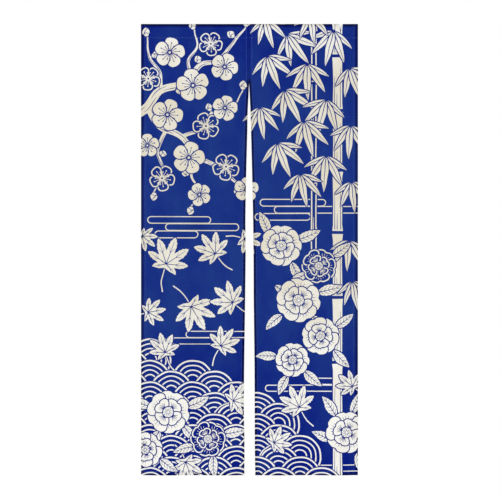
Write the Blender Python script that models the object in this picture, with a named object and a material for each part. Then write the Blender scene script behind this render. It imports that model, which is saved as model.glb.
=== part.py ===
"""A noren: the split cloth curtain of a doorway, hanging from a pocket for its rod.

Metres, +Z up. The origin is the middle of the curtain's top edge, X runs across the
doorway, and the printed face looks along -Y. Two lengths of cloth are joined by a seam
down the middle, which stops at the head of the slit. Their top is turned back and sewn
down as one long pocket, open at both ends.
"""

import math

import bmesh
import bpy

# Outline of the hanging cloth
WIDTH = 0.850
DROP = 1.768
SLIT_HEAD = 0.235
SEAM_ACROSS = -0.0015
HALF_WIDTH = WIDTH / 2

# Cloth, hems and the gap that touching pieces keep
CLOTH = 0.0012
HEM_RISE = 0.0010
HEM_STEP = 0.0020
SIDE_HEM = 0.017
SLIT_HEM = 0.012
BOTTOM_HEM = 0.016
GAP = 0.0003

# Rod pocket: a teardrop in section, full at its top fold and shut at its stitch line
POCKET_DROP = 0.055
POCKET_DEPTH = 0.016
POCKET_TURN_UNDER = 0.010
POCKET_MIN_HALF = 0.0003
POCKET_ARC_STEPS = 5
POCKET_SIDE_STEPS = 7

# Fineness of the panels
FIELD_COLUMNS = 20
ROWS_ABOVE_SLIT = 3
ROWS_BESIDE_SLIT = 28
SHARP_ANGLE = math.radians(40)

# Cloth colour, linear
DYED_BLUE = (0.0110, 0.0319, 0.2384, 1.0)
CLOTH_ROUGHNESS = 0.85

# The slit's two edges: how far across each lies at a distance below the top edge
SLIT_COLUMNS = ("down", "left", "right")
SLIT_EDGES = (
    (SLIT_HEAD, SEAM_ACROSS, SEAM_ACROSS),
    (0.290, -0.0040, 0.0012),
    (0.340, -0.0066, 0.0036),
    (0.435, -0.0086, 0.0062),
    (0.575, -0.0122, 0.0098),
    (0.765, -0.0156, 0.0140),
    (0.900, -0.0148, 0.0156),
    (1.100, -0.0170, 0.0166),
    (1.325, -0.0202, 0.0194),
    (1.520, -0.0216, 0.0202),
    (1.640, -0.0194, 0.0206),
    (DROP, -0.0196, 0.0224),
)

# Soft folds, as wide and deep as they are at the hem: each starts flat and grows downwards
FOLD_COLUMNS = ("panel", "centre", "width", "forward", "lean", "starts")
FOLDS = (
    ("left", -0.425, 0.150, -0.0090, 0.000, 0.20),
    ("left", -0.330, 0.190, 0.0085, 0.020, 0.10),
    ("left", -0.205, 0.180, -0.0080, -0.015, 0.14),
    ("left", -0.105, 0.150, 0.0070, 0.010, 0.26),
    ("left", -0.020, 0.110, -0.0085, 0.000, 0.24),
    ("right", 0.020, 0.120, -0.0070, 0.000, 0.24),
    ("right", 0.110, 0.170, 0.0080, -0.012, 0.26),
    ("right", 0.235, 0.200, -0.0085, 0.018, 0.12),
    ("right", 0.345, 0.160, 0.0065, -0.010, 0.18),
    ("right", 0.425, 0.140, -0.0110, 0.000, 0.16),
)


def rows_of(columns, table):
    """The table's rows as dictionaries, by column name."""
    return [dict(zip(columns, row)) for row in table]


def smooth(share):
    """A share from 0 to 1, eased at both ends."""
    share = min(max(share, 0.0), 1.0)
    return share * share * (3 - 2 * share)


def slit_slope(rows, side, i):
    """The slit edge's slope at one row of its table, from the rows beside it."""
    before, after = rows[max(i - 1, 0)], rows[min(i + 1, len(rows) - 1)]
    return (after[side] - before[side]) / (after["down"] - before["down"])


def slit_edge(side, down):
    """How far across the cloth's inner edge lies: a smooth curve through the table."""
    rows = rows_of(SLIT_COLUMNS, SLIT_EDGES)
    down = max(down, SLIT_HEAD)
    i = max(i for i, row in enumerate(rows[:-1]) if row["down"] <= down)
    near, far = rows[i], rows[i + 1]
    span = far["down"] - near["down"]
    share = (down - near["down"]) / span
    between = near[side] + (far[side] - near[side]) * smooth(share)
    leaving = slit_slope(rows, side, i) * share * (1 - share) ** 2
    arriving = slit_slope(rows, side, i + 1) * share**2 * (1 - share)
    return between + span * (leaving - arriving)


def fold_depth(panel, across, down):
    """How far back the cloth lies of the plane that it hangs in."""
    depth = 0.0
    for fold in rows_of(FOLD_COLUMNS, FOLDS):
        if fold["panel"] != panel:
            continue
        grown = smooth((down - fold["starts"]) / (DROP - fold["starts"]))
        centre = fold["centre"] + fold["lean"] * (1 - down / DROP)
        away = min(abs(across - centre) / (fold["width"] / 2), 1.0)
        depth -= fold["forward"] * grown * (1 + math.cos(math.pi * away)) / 2
    return depth


def even_steps(first, last, count):
    """count + 1 numbers, evenly spaced from first to last."""
    return [first + (last - first) * i / count for i in range(count + 1)]


def cloth_material():
    """Plain-woven cloth, dyed blue."""
    material = bpy.data.materials.new("dyed_cloth")
    material.use_nodes = True
    shader = material.node_tree.nodes["Principled BSDF"]
    shader.inputs["Base Color"].default_value = DYED_BLUE
    shader.inputs["Roughness"].default_value = CLOTH_ROUGHNESS
    shader.inputs["Metallic"].default_value = 0.0
    return material


def add_object(name, bm, material):
    """Makes the mesh one named object with its material, shaded smooth."""
    mesh = bpy.data.meshes.new(name)
    bm.to_mesh(mesh)
    bm.free()
    mesh.materials.append(material)
    mesh.shade_smooth()
    mesh.set_sharp_from_angle(angle=SHARP_ANGLE)
    obj = bpy.data.objects.new(name, mesh)
    bpy.context.scene.collection.objects.link(obj)
    return obj


def panel_columns():
    """Each column as a share of the field and its distances in from both edges.

    A column in a hem lies at its own distance from that edge. One in the field between
    the hems lies at a share of the way across.
    """
    outer = [("outer", 0.0), ("outer", SIDE_HEM), ("outer", SIDE_HEM + HEM_STEP)]
    inner = [("inner", SLIT_HEM + HEM_STEP), ("inner", SLIT_HEM), ("inner", 0.0)]
    field = [("field", share) for share in even_steps(0.0, 1.0, FIELD_COLUMNS)[1:-1]]
    return outer + field + inner


def panel_rows():
    """Each row's distance below the top edge, with the bottom hem's own rows."""
    hem_line = DROP - BOTTOM_HEM
    above = even_steps(POCKET_DROP + GAP, SLIT_HEAD, ROWS_ABOVE_SLIT)
    beside = even_steps(SLIT_HEAD, hem_line - HEM_STEP, ROWS_BESIDE_SLIT)
    return above + beside[1:] + [hem_line, DROP]


def panel_sheet(side):
    """One cloth's printed face as a sheet, with its hems in a vertex group's weights."""
    outward = -1 if side == "left" else 1
    rows, columns = panel_rows(), panel_columns()
    bm = bmesh.new()
    weight = bm.verts.layers.deform.verify()
    grid = []
    for down in rows:
        outer = outward * HALF_WIDTH
        inner = slit_edge(side, down) + outward * GAP / 2
        first = outer - outward * (SIDE_HEM + HEM_STEP)
        last = inner + outward * (SLIT_HEM + HEM_STEP)
        line = []
        for kind, place in columns:
            across = {
                "outer": outer - outward * place,
                "inner": inner + outward * place,
                "field": first + (last - first) * place,
            }[kind]
            y = -CLOTH + fold_depth(side, across, down)
            vertex = bm.verts.new((across, y, -down))
            at_side = kind == "outer" and place <= SIDE_HEM
            at_slit = kind == "inner" and place <= SLIT_HEM
            at_foot = down >= DROP - BOTTOM_HEM
            vertex[weight][0] = 1.0 if at_side or at_slit or at_foot else 0.0
            line.append(vertex)
        grid.append(line if side == "left" else line[::-1])
    for upper, lower in zip(grid, grid[1:]):
        for i in range(len(columns) - 1):
            bm.faces.new((upper[i], lower[i], lower[i + 1], upper[i + 1]))
    return bm


def make_panel(side, material):
    """A hanging panel: its sheet thickened backwards, more so where the hems double it."""
    panel = add_object(f"panel_{side}", panel_sheet(side), material)
    hems = panel.vertex_groups.new(name="hems")
    thicken = panel.modifiers.new("cloth thickness", "SOLIDIFY")
    thicken.thickness = CLOTH + HEM_RISE
    thicken.thickness_vertex_group = CLOTH / (CLOTH + HEM_RISE)
    thicken.vertex_group = hems.name
    thicken.offset = -1.0
    return panel


def pocket_half_depth(down):
    """Half the pocket's outer depth, at this distance below the top edge."""
    radius = POCKET_DEPTH / 2
    if down <= radius:
        return math.sqrt(max(radius**2 - (radius - down) ** 2, 0.0))
    share = (down - radius) / (POCKET_DROP - radius)
    return CLOTH + (radius - CLOTH) * (1 + math.cos(math.pi * share)) / 2


def pocket_downs():
    """Distances below the top edge at which the pocket's section has points."""
    radius = POCKET_DEPTH / 2
    turns = even_steps(0.0, math.pi / 2, POCKET_ARC_STEPS)
    arc = [radius * (1 - math.cos(turn)) for turn in turns]
    return arc + even_steps(radius, POCKET_DROP, POCKET_SIDE_STEPS)[1:]


def hollow_point(down, wall):
    """The hollow's distance below the top edge and half depth, inside the outer point there."""
    radius = POCKET_DEPTH / 2
    if down <= radius:
        shrink = (radius - wall) / radius
        return radius - (radius - down) * shrink, pocket_half_depth(down) * shrink
    share = (down - radius) / (POCKET_DROP - radius)
    inner_down = radius + (POCKET_DROP - POCKET_TURN_UNDER - radius) * share
    return inner_down, max(pocket_half_depth(inner_down) - wall, POCKET_MIN_HALF)


def pocket_section(wall):
    """Pairs of outer and inner points (y, z) round the pocket, from its front foot over the top."""
    back = []
    for down in pocket_downs():
        inner_down, inner = hollow_point(down, wall)
        back.append(((pocket_half_depth(down), -down), (inner, -inner_down)))
    front = [((-y, z), (-inner_y, inner_z)) for (y, z), (inner_y, inner_z) in back]
    return front[::-1] + back[1:]


def pocket_stations():
    """Places across the pocket with the wall there, thicker at its end hems and middle seam."""
    thick, thin = CLOTH + HEM_RISE, CLOTH
    return (
        (-HALF_WIDTH, thick),
        (-HALF_WIDTH + SIDE_HEM, thick),
        (-HALF_WIDTH + SIDE_HEM + HEM_STEP, thin),
        (SEAM_ACROSS - SLIT_HEM - HEM_STEP, thin),
        (SEAM_ACROSS - SLIT_HEM, thick),
        (SEAM_ACROSS + SLIT_HEM, thick),
        (SEAM_ACROSS + SLIT_HEM + HEM_STEP, thin),
        (HALF_WIDTH - SIDE_HEM - HEM_STEP, thin),
        (HALF_WIDTH - SIDE_HEM, thick),
        (HALF_WIDTH, thick),
    )


def make_pocket(material):
    """The rod pocket: one tube of cloth, open at both ends, sewn shut along its foot."""
    bm = bmesh.new()
    rings = []
    for across, wall in pocket_stations():
        section = pocket_section(wall)
        outer = [bm.verts.new((across, y, z)) for (y, z), _ in section]
        inner = [bm.verts.new((across, y, z)) for _, (y, z) in section]
        rings.append((outer, inner))
    count = len(rings[0][0])
    turns = [(i, (i + 1) % count) for i in range(count)]
    for near, far in zip(rings, rings[1:]):
        for near_loop, far_loop in zip(near, far):
            for i, j in turns:
                bm.faces.new((near_loop[i], near_loop[j], far_loop[j], far_loop[i]))
    for outer, inner in (rings[0], rings[-1]):
        for i, j in turns:
            bm.faces.new((outer[i], outer[j], inner[j], inner[i]))
    bmesh.ops.recalc_face_normals(bm, faces=bm.faces)
    return add_object("rod_pocket", bm, material)


def main():
    """Clears the scene and makes the pocket and its two panels."""
    for obj in list(bpy.data.objects):
        bpy.data.objects.remove(obj, do_unlink=True)
    material = cloth_material()
    make_pocket(material)
    for side in ("left", "right"):
        make_panel(side, material)


main()
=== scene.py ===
"""The looks of a noren: two lengths of resist-printed cloth, their rod pocket, hems and stitches.

Everything is in metres in the part's own frame, but for the print, which is drawn in
millimetres across and down the flat cloth. The cloth is triangulated flat, along every
outline of the print, and each point is then carried to where it hangs: down the panel or
round the pocket, and round the fold of a hem where it lies past an edge.
"""

import logging
import math
from abc import ABC, abstractmethod
from dataclasses import dataclass
from enum import Enum
from typing import Callable, Sequence

import bpy
import numpy as np
from bpy.types import ColorRamp, Material, Node, NodeSocket, NodeTree, Object
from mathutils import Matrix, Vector, kdtree
from mathutils.geometry import delaunay_2d_cdt

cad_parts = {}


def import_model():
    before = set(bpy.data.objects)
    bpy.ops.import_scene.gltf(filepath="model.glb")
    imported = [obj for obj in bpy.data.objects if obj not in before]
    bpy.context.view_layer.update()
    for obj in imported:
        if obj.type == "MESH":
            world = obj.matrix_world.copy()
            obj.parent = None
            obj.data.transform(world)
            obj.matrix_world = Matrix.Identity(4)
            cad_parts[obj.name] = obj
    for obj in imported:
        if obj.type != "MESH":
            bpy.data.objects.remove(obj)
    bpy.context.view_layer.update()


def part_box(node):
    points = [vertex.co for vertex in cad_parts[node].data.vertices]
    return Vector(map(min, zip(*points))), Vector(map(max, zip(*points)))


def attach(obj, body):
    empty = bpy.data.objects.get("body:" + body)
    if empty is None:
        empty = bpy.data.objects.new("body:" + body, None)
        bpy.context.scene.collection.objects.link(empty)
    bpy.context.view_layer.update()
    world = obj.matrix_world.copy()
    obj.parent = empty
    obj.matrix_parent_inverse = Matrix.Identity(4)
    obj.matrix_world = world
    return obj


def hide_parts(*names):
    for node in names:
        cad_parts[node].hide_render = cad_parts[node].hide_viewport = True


LOG = logging.getLogger("noren")
MM = 0.001
Array = np.ndarray
# Points of the flat cloth nearer to each other than this become one.
NEAREST_MM = 0.04


class Ink(Enum):
    """What the cloth shows inside an outline of the print."""

    DYE = "dyed ground"
    RESIST = "undyed motif"


@dataclass(frozen=True)
class Shape:
    """One closed outline of the print, in millimetres across and down, and what fills it."""

    outline: Array
    ink: Ink


def polar(radius: float, degrees: float) -> tuple[float, float]:
    """A point at this radius, its angle measured clockwise from straight up."""
    turn = math.radians(degrees)
    return radius * math.sin(turn), -radius * math.cos(turn)


def turned(points: Array, degrees: float) -> Array:
    """Turns points clockwise about the origin, as seen on the printed face.

    Args:
        points: Places across and down, a row each.
        degrees: How far they turn.

    Returns:
        The turned points.
    """
    turn = math.radians(degrees)
    c, s = math.cos(turn), math.sin(turn)
    return np.asarray(points, float) @ np.array([[c, s], [-s, c]])


def curve(points: Sequence[Sequence[float]], steps: int = 6, closed: bool = False) -> Array:
    """A smooth line through points: a Catmull-Rom spline.

    Args:
        points: The places that it passes, in order.
        steps: Steps between two of them.
        closed: Whether it returns to its start.

    Returns:
        The line's points.
    """
    p = np.asarray(points, float)
    if closed:
        p = np.vstack([p[-1], p, p[0], p[1]])
    else:
        p = np.vstack([2 * p[0] - p[1], p, 2 * p[-1] - p[-2]])
    share = np.arange(steps)[:, None] / steps
    spans = []
    for a, b, c, d in zip(p, p[1:], p[2:], p[3:]):
        bend = (c - a) * share + (2 * a - 5 * b + 4 * c - d) * share**2
        spans.append(b + 0.5 * (bend + (3 * b - a - 3 * c + d) * share**3))
    line = np.vstack(spans)
    return line if closed else np.vstack([line, p[-2]])


def beside(line: Array) -> Array:
    """A unit step square to a line, at each of its points."""
    along = unit(np.gradient(np.asarray(line, float), axis=0))
    return np.stack([-along[:, 1], along[:, 0]], axis=1)


def ribbon(line: Array, widths: Sequence[float]) -> Array:
    """The outline of a drawn line with pointed ends.

    Args:
        line: The line's points, in order.
        widths: Its widths, evenly spread along it.

    Returns:
        The closed outline.
    """
    line = np.asarray(line, float)
    side = beside(line)
    share = np.linspace(0, 1, len(line))
    half = np.interp(share, np.linspace(0, 1, len(widths)), widths)[:, None] / 2
    ahead = np.stack([side[:, 1], -side[:, 0]], axis=1)
    left, right = line + side * half, line - side * half
    start, end = line[0] - ahead[0] * half[0], line[-1] + ahead[-1] * half[-1]
    return np.vstack([start, left, end, right[::-1]])


def disc(centre: Sequence[float], radius: float, count: int = 14) -> Array:
    """A round outline with so many points."""
    turn = np.linspace(0, 2 * math.pi, count, endpoint=False)
    return np.asarray(centre, float) + radius * np.stack([np.sin(turn), -np.cos(turn)], axis=1)


def swollen(outline: Array, by: float) -> Array:
    """Pushes an outline out on all sides.

    Args:
        outline: The closed outline.
        by: How far, in millimetres; in if it is negative.

    Returns:
        The new outline.
    """
    side = beside(np.vstack([outline[-1], outline, outline[0]]))[1:-1]
    x, y = outline.T
    clockwise = np.sum(x * np.roll(y, -1) - y * np.roll(x, -1)) > 0
    return outline + side * (-by if clockwise else by)


@dataclass(frozen=True)
class Motif(ABC):
    """A thing that is printed: its middle, its size and turn, and its style.

    Args:
        across: Millimetres right of the curtain's middle.
        down: Millimetres below its top edge.
        size: Overall length or diameter, in millimetres.
        turn: Degrees clockwise.
        lined: Drawn in lines on the dye rather than filled.
    """

    across: float
    down: float
    size: float
    turn: float = 0.0
    lined: bool = False

    VEIN = 3.3
    VEIN_TIP = 1.2
    LINE = 4.8
    RIM = 4.0
    DOT_POINTS = 8

    @abstractmethod
    def draw(self) -> list[Shape]:
        """The shapes about the origin, the first painted first."""

    def shapes(self) -> list[Shape]:
        """The shapes in their place on the cloth."""
        move = np.array([self.across, self.down])
        return [Shape(turned(s.outline, self.turn) + move, s.ink) for s in self.draw()]

    def fill(self) -> Ink:
        """What fills the motif's body."""
        return Ink.DYE if self.lined else Ink.RESIST

    def detail(self) -> Ink:
        """What its veins and dots are drawn in."""
        return Ink.RESIST if self.lined else Ink.DYE

    def body(self, outline: Array) -> list[Shape]:
        """Draws a filled or lined form, with a rim of dye that parts it from what lies below.

        Args:
            outline: The form's closed outline.

        Returns:
            Its shapes.
        """
        shapes = [Shape(swollen(outline, self.RIM), Ink.DYE), Shape(outline, Ink.RESIST)]
        if self.lined:
            shapes.append(Shape(swollen(outline, -self.LINE), Ink.DYE))
        return shapes


@dataclass(frozen=True)
class Blossom(Motif):
    """A plum blossom: five round petals about a ring of stamens, its sizes as shares of its radius."""

    PETALS = 5
    PETAL = (
        (0.00, -0.10), (0.30, -0.36), (0.43, -0.66), (0.30, -0.92),
        (0.00, -0.99), (-0.30, -0.92), (-0.43, -0.66), (-0.30, -0.36),
    )
    EYE = 0.17
    PISTIL = 0.08
    PISTIL_POINTS = 10
    STAMENS = 15
    STAMEN_FOOT = 0.15
    # One stamen in three is long.
    STAMEN_REACHES = (0.64, 0.49, 0.49)
    STAMEN_WIDTHS = (2.6, 1.6)
    DOT_MM = 2.6

    def draw(self) -> list[Shape]:
        """Draws petals that overlap in turn, and the stamens.

        Returns:
            The shapes, in order.
        """
        radius = self.size / 2
        petal = curve(np.array(self.PETAL) * radius, steps=4, closed=True)
        shapes = []
        for k in range(self.PETALS):
            shapes += self.body(turned(petal, 360 / self.PETALS * k))
        return shapes + self.stamens(radius)

    def stamens(self, radius: float) -> list[Shape]:
        """Draws the eye, and fine stamens with a dot on each.

        Args:
            radius: The blossom's radius.

        Returns:
            The shapes.
        """
        shapes = [Shape(disc((0, 0), self.EYE * radius), self.detail())]
        shapes.append(Shape(disc((0, 0), self.PISTIL * radius, self.PISTIL_POINTS), self.fill()))
        for k in range(self.STAMENS):
            angle = 360 / self.STAMENS * k
            reach = radius * self.STAMEN_REACHES[k % len(self.STAMEN_REACHES)]
            line = [polar(self.STAMEN_FOOT * radius, angle), polar(reach, angle)]
            shapes.append(Shape(ribbon(line, self.STAMEN_WIDTHS), self.detail()))
            shapes.append(Shape(disc(polar(reach, angle), self.DOT_MM, self.DOT_POINTS), self.detail()))
        return shapes


@dataclass(frozen=True)
class Bud(Motif):
    """A bud about to open on a twig: the foot of its stalk at the origin, the bud above it.

    Its tables are shares of its radius, and its widths are in millimetres.
    """

    STALK = ((0.00, 0.00), (0.10, -0.50), (0.00, -1.00))
    PETALS = (
        (0.00, -0.80), (0.56, -0.98), (0.90, -1.55), (0.78, -2.20), (0.34, -2.70),
        (0.00, -2.86), (-0.34, -2.70), (-0.78, -2.20), (-0.90, -1.55), (-0.56, -0.98),
    )
    LAP = ((-0.52, -1.30), (-0.30, -1.85), (0.10, -2.30), (0.30, -2.68))
    CUP = (
        (-0.70, -1.50), (-0.34, -1.22), (0.00, -1.62), (0.34, -1.22),
        (0.70, -1.50), (0.46, -0.86), (0.00, -0.66), (-0.46, -0.86),
    )
    STALK_WIDTH = 5.0
    LAP_TIP = 1.8
    CUP_RIM = 2.6

    def draw(self) -> list[Shape]:
        """Draws the stalk, the closed petals with one lapped over, and the cup's three points.

        Returns:
            The shapes, in order.
        """
        radius = self.size / 2
        stalk = curve(np.array(self.STALK) * radius, steps=3)
        petals = curve(np.array(self.PETALS) * radius, steps=4, closed=True)
        lap = curve(np.array(self.LAP) * radius, steps=4)
        cup = np.array(self.CUP) * radius
        shapes = [Shape(ribbon(stalk, (self.STALK_WIDTH, self.STALK_WIDTH)), Ink.RESIST)]
        shapes += self.body(petals)
        shapes.append(Shape(ribbon(lap, (self.VEIN, self.LAP_TIP)), self.detail()))
        return shapes + [Shape(swollen(cup, self.CUP_RIM), Ink.DYE), Shape(cup, Ink.RESIST)]


@dataclass(frozen=True)
class Camellia(Motif):
    """A camellia seen full: two rings of broad petals about a drum of stamens."""

    PETAL = (
        (0.00, -0.16), (0.36, -0.36), (0.60, -0.64), (0.50, -0.90), (0.20, -1.01),
        (0.00, -0.95), (-0.20, -1.00), (-0.50, -0.89), (-0.60, -0.64), (-0.36, -0.36),
    )
    # Each ring: petals, share of the radius, degrees at which it starts.
    RINGS = ((5, 1.0, 0.0), (4, 0.64, 30.0))
    VEIN_LEANS = (-27, -15, -4, 8, 20)
    # Each point of a vein but its tip: share of the radius, share of the lean.
    VEIN_LINE = ((0.40, 0.40), (0.62, 0.75))
    VEIN_REACH = 0.86
    VEIN_SHORTER = 0.004
    DRUM = 0.25
    DRUM_POINTS = 20
    # Stripes on the drum and dots between them, as shares of its radius.
    STRIPES = 9
    STRIPE = (0.28, 0.66)
    STRIPE_WIDTHS = (2.4, 1.8)
    DOT_RING = 0.82
    DOT_MM = 1.9

    def draw(self) -> list[Shape]:
        """Draws the outer ring, the inner ring and the stamens.

        Returns:
            The shapes, in order.
        """
        radius = self.size / 2
        shapes = []
        for count, share, start in self.RINGS:
            petal = curve(np.array(self.PETAL) * radius * share, steps=4, closed=True)
            for k in range(count):
                angle = start + 360 / count * k
                shapes += self.body(turned(petal, angle))
                shapes += self.veins(radius * share, angle)
        return shapes + self.stamens(radius)

    def veins(self, radius: float, angle: float) -> list[Shape]:
        """Draws fine curved lines that spread from a petal's foot.

        Args:
            radius: The ring's radius.
            angle: The way that the petal points, in degrees.

        Returns:
            The shapes.
        """
        shapes = []
        for lean in self.VEIN_LEANS:
            reach = self.VEIN_REACH - self.VEIN_SHORTER * abs(lean)
            line = [polar(out * radius, angle + part * lean) for out, part in self.VEIN_LINE]
            line.append(polar(reach * radius, angle + lean))
            shapes.append(Shape(ribbon(curve(line, steps=3), (self.VEIN, self.VEIN_TIP)), self.detail()))
        return shapes

    def stamens(self, radius: float) -> list[Shape]:
        """Draws a drum of stamens: a ring of dots about a striped middle.

        Args:
            radius: The flower's radius.

        Returns:
            The shapes.
        """
        drum, step = self.DRUM * radius, 360 / self.STRIPES
        shapes = [Shape(disc((0, 0), drum + self.RIM, self.DRUM_POINTS), Ink.DYE)]
        shapes.append(Shape(disc((0, 0), drum, self.DRUM_POINTS), Ink.RESIST))
        for k in range(self.STRIPES):
            line = [polar(share * drum, step * k) for share in self.STRIPE]
            dot = polar(self.DOT_RING * drum, step * (k + 0.5))
            shapes.append(Shape(ribbon(line, self.STRIPE_WIDTHS), Ink.DYE))
            shapes.append(Shape(disc(dot, self.DOT_MM, self.DOT_POINTS), Ink.DYE))
        return shapes


@dataclass(frozen=True)
class Leaf(Motif):
    """A leaf along its midrib, which starts at the origin and points up.

    Args:
        breadth: Its width as a share of its length.
        bend: How far its middle bends aside, as a share of its length.
        teeth: Teeth along each edge, or none.
        veins: Pairs of side veins.
    """

    breadth: float = 0.44
    bend: float = 0.10
    teeth: int = 0
    veins: int = 5

    # How far the bend's sine turns from the foot to the tip, in radians.
    BEND_TURN = 2.0
    # Powers of the sine that shapes the blade: where it is widest, and how full it is.
    WIDEST = 0.78
    FULL = 0.85
    TOOTH = 0.13
    STEPS = 12
    TOOTH_STEPS = 4
    # From where to where the midrib is drawn, as shares of the length, and its widths.
    RIB = (-0.06, 0.94)
    RIB_WIDTHS = (4.1, 1.2)
    RIB_POINTS = 9
    # The blade's foot and both its ends without side veins, in steps from one vein to the next.
    VEIN_START = 0.6
    VEIN_FREE = 1.2
    # Side veins: how far on each ends, where the blade is measured for it, and its share of that.
    VEIN_RISE = 0.15
    VEIN_MEASURE = 0.12
    LAST_MEASURE = 0.95
    VEIN_SHARE = 0.78
    VEIN_SAG = 0.03
    SIDE_VEIN_WIDTHS = (2.2, 1.1)

    def spine(self, share: Array | float) -> Array:
        """Points on the bent midrib at these shares of its length."""
        share = np.asarray(share, float)
        return np.stack([self.bend * self.size * np.sin(self.BEND_TURN * share), -self.size * share], axis=-1)

    def half_width(self, share: Array | float) -> Array:
        """Half the blade's width, widest below its middle, with teeth if it has any.

        Args:
            share: Shares of the leaf's length.

        Returns:
            The half widths.
        """
        share = np.asarray(share, float)
        width = 0.5 * self.breadth * self.size * np.sin(math.pi * share**self.WIDEST) ** self.FULL
        return width * (1 - self.TOOTH * ((share * self.teeth) % 1.0)) if self.teeth else width

    def edge(self, side: int, steps: int) -> Array:
        """One edge of the blade, from the stalk to the tip.

        Args:
            side: 1 or -1.
            steps: Steps along it.

        Returns:
            The edge's points.
        """
        share = np.linspace(0, 1, steps + 1)
        spine = self.spine(share)
        return spine + side * beside(spine) * self.half_width(share)[:, None]

    def draw(self) -> list[Shape]:
        """Draws the blade, its midrib and its side veins.

        Returns:
            The shapes, in order.
        """
        steps = self.TOOTH_STEPS * self.teeth if self.teeth else self.STEPS
        blade = np.vstack([self.edge(1, steps), self.edge(-1, steps)[-2:0:-1]])
        rib = self.spine(np.linspace(*self.RIB, self.RIB_POINTS))
        shapes = [*self.body(blade), Shape(ribbon(rib, self.RIB_WIDTHS), self.detail())]
        for k in range(self.veins):
            shapes += self.side_veins((k + self.VEIN_START) / (self.veins + self.VEIN_FREE))
        return shapes

    def side_veins(self, share: float) -> list[Shape]:
        """Draws a pair of veins that leave the midrib.

        Args:
            share: Where they leave it, as a share of its length.

        Returns:
            The shapes.
        """
        shapes = []
        foot, head = self.spine(share), self.spine(share + self.VEIN_RISE)
        measured = min(share + self.VEIN_MEASURE, self.LAST_MEASURE)
        reach = self.VEIN_SHARE * float(self.half_width(measured))
        for side in (-1, 1):
            tip = head + np.array([side * reach, 0])
            middle = (foot + tip) / 2 + np.array([0, self.VEIN_SAG * self.size])
            vein = curve([foot, middle, tip], steps=2)
            shapes.append(Shape(ribbon(vein, self.SIDE_VEIN_WIDTHS), self.detail()))
        return shapes


@dataclass(frozen=True)
class BambooSpray(Motif):
    """A fan of narrow bamboo leaves that hang from one point."""

    # Each leaf: degrees, share of the size, bend.
    FAN = (
        (-64, 0.70, -0.05), (52, 0.68, 0.05), (22, 0.88, 0.04), (-36, 0.92, -0.04), (-8, 1.0, 0.03),
    )
    BREADTH = 0.20

    def draw(self) -> list[Shape]:
        """Draws the leaves, the longest painted last.

        Returns:
            The shapes, in order.
        """
        shapes = []
        for angle, share, bend in self.FAN:
            leaf = Leaf(0, 0, self.size * share, angle, self.lined, self.BREADTH, bend, veins=0)
            shapes += leaf.shapes()
        return shapes


@dataclass(frozen=True)
class MapleLeaf(Motif):
    """A maple leaf of seven toothed lobes, its stalk pointing down."""

    # Each lobe of the right half: degrees, share of the radius.
    LOBES = ((0, 1.0), (37, 0.95), (76, 0.78), (120, 0.50))
    # Each point of a toothed edge: how far on from tip to notch, in radius and in angle.
    TEETH = (
        (0.05, 0.07), (0.17, 0.26), (0.20, 0.21), (0.36, 0.50), (0.40, 0.44), (0.62, 0.72), (0.66, 0.66),
    )
    NOTCH = 0.48
    FOOT = ((0.30, 138), (0.17, 165))
    STALK = ((0.00, 0.00), (0.02, 0.30), (0.10, 0.48))
    STALK_WIDTHS = (3.5, 5.0)
    STALK_RIM_WIDTHS = (9.5, 11.0)
    VEIN_REACH = 0.84
    # A vein's forks: from where to where along the lobe, how many degrees aside, and their widths.
    FORK = (0.42, 0.62)
    FORK_DEGREES = 9
    FORK_WIDTHS = (1.8, 1.0)

    def half_edge(self) -> list[tuple[float, float]]:
        """Works out the right half's outline, from the tip to the stalk.

        Returns:
            Its points, each a share of the radius and degrees.
        """
        edge = []
        for (angle, tip), (next_angle, next_tip) in zip(self.LOBES, self.LOBES[1:]):
            gap, notch = (angle + next_angle) / 2, self.NOTCH * (tip + next_tip) / 2
            edge.append((tip, angle))
            edge += [(tip + (notch - tip) * s, angle + (gap - angle) * w) for s, w in self.TEETH]
            edge.append((notch, gap))
            edge += [(next_tip + (notch - next_tip) * s, next_angle + (gap - next_angle) * w)
                     for s, w in self.TEETH[::-1]]
        last, tip = self.LOBES[-1]
        return edge + [(tip, last), *self.FOOT]

    def draw(self) -> list[Shape]:
        """Draws the stalk, the blade and a forked vein to each lobe.

        Returns:
            The shapes, in order.
        """
        radius, half = self.size / 2, self.half_edge()
        left = [polar(r * radius, -a) for r, a in half[:0:-1]]
        blade = [polar(r * radius, a) for r, a in half] + left
        stalk = curve(np.array(self.STALK) * self.size, steps=4)
        shapes = [Shape(ribbon(stalk, self.STALK_RIM_WIDTHS), Ink.DYE)]
        shapes.append(Shape(ribbon(stalk, self.STALK_WIDTHS), Ink.RESIST))
        shapes += self.body(np.array(blade))
        for angle, share in self.LOBES:
            for side in (-1, 1) if angle else (1,):
                shapes += self.veins(radius * share, side * angle)
        return shapes

    def veins(self, reach: float, angle: float) -> list[Shape]:
        """Draws one lobe's vein and its two forks.

        Args:
            reach: The lobe's length from the leaf's middle.
            angle: The way that it points, in degrees.

        Returns:
            The shapes.
        """
        vein = [(0, 0), polar(self.VEIN_REACH * reach, angle)]
        shapes = [Shape(ribbon(vein, (self.VEIN, self.VEIN_TIP)), self.detail())]
        start, end = self.FORK
        for lean in (-self.FORK_DEGREES, self.FORK_DEGREES):
            fork = [polar(start * reach, angle), polar(end * reach, angle + lean)]
            shapes.append(Shape(ribbon(fork, self.FORK_WIDTHS), self.detail()))
        return shapes


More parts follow.
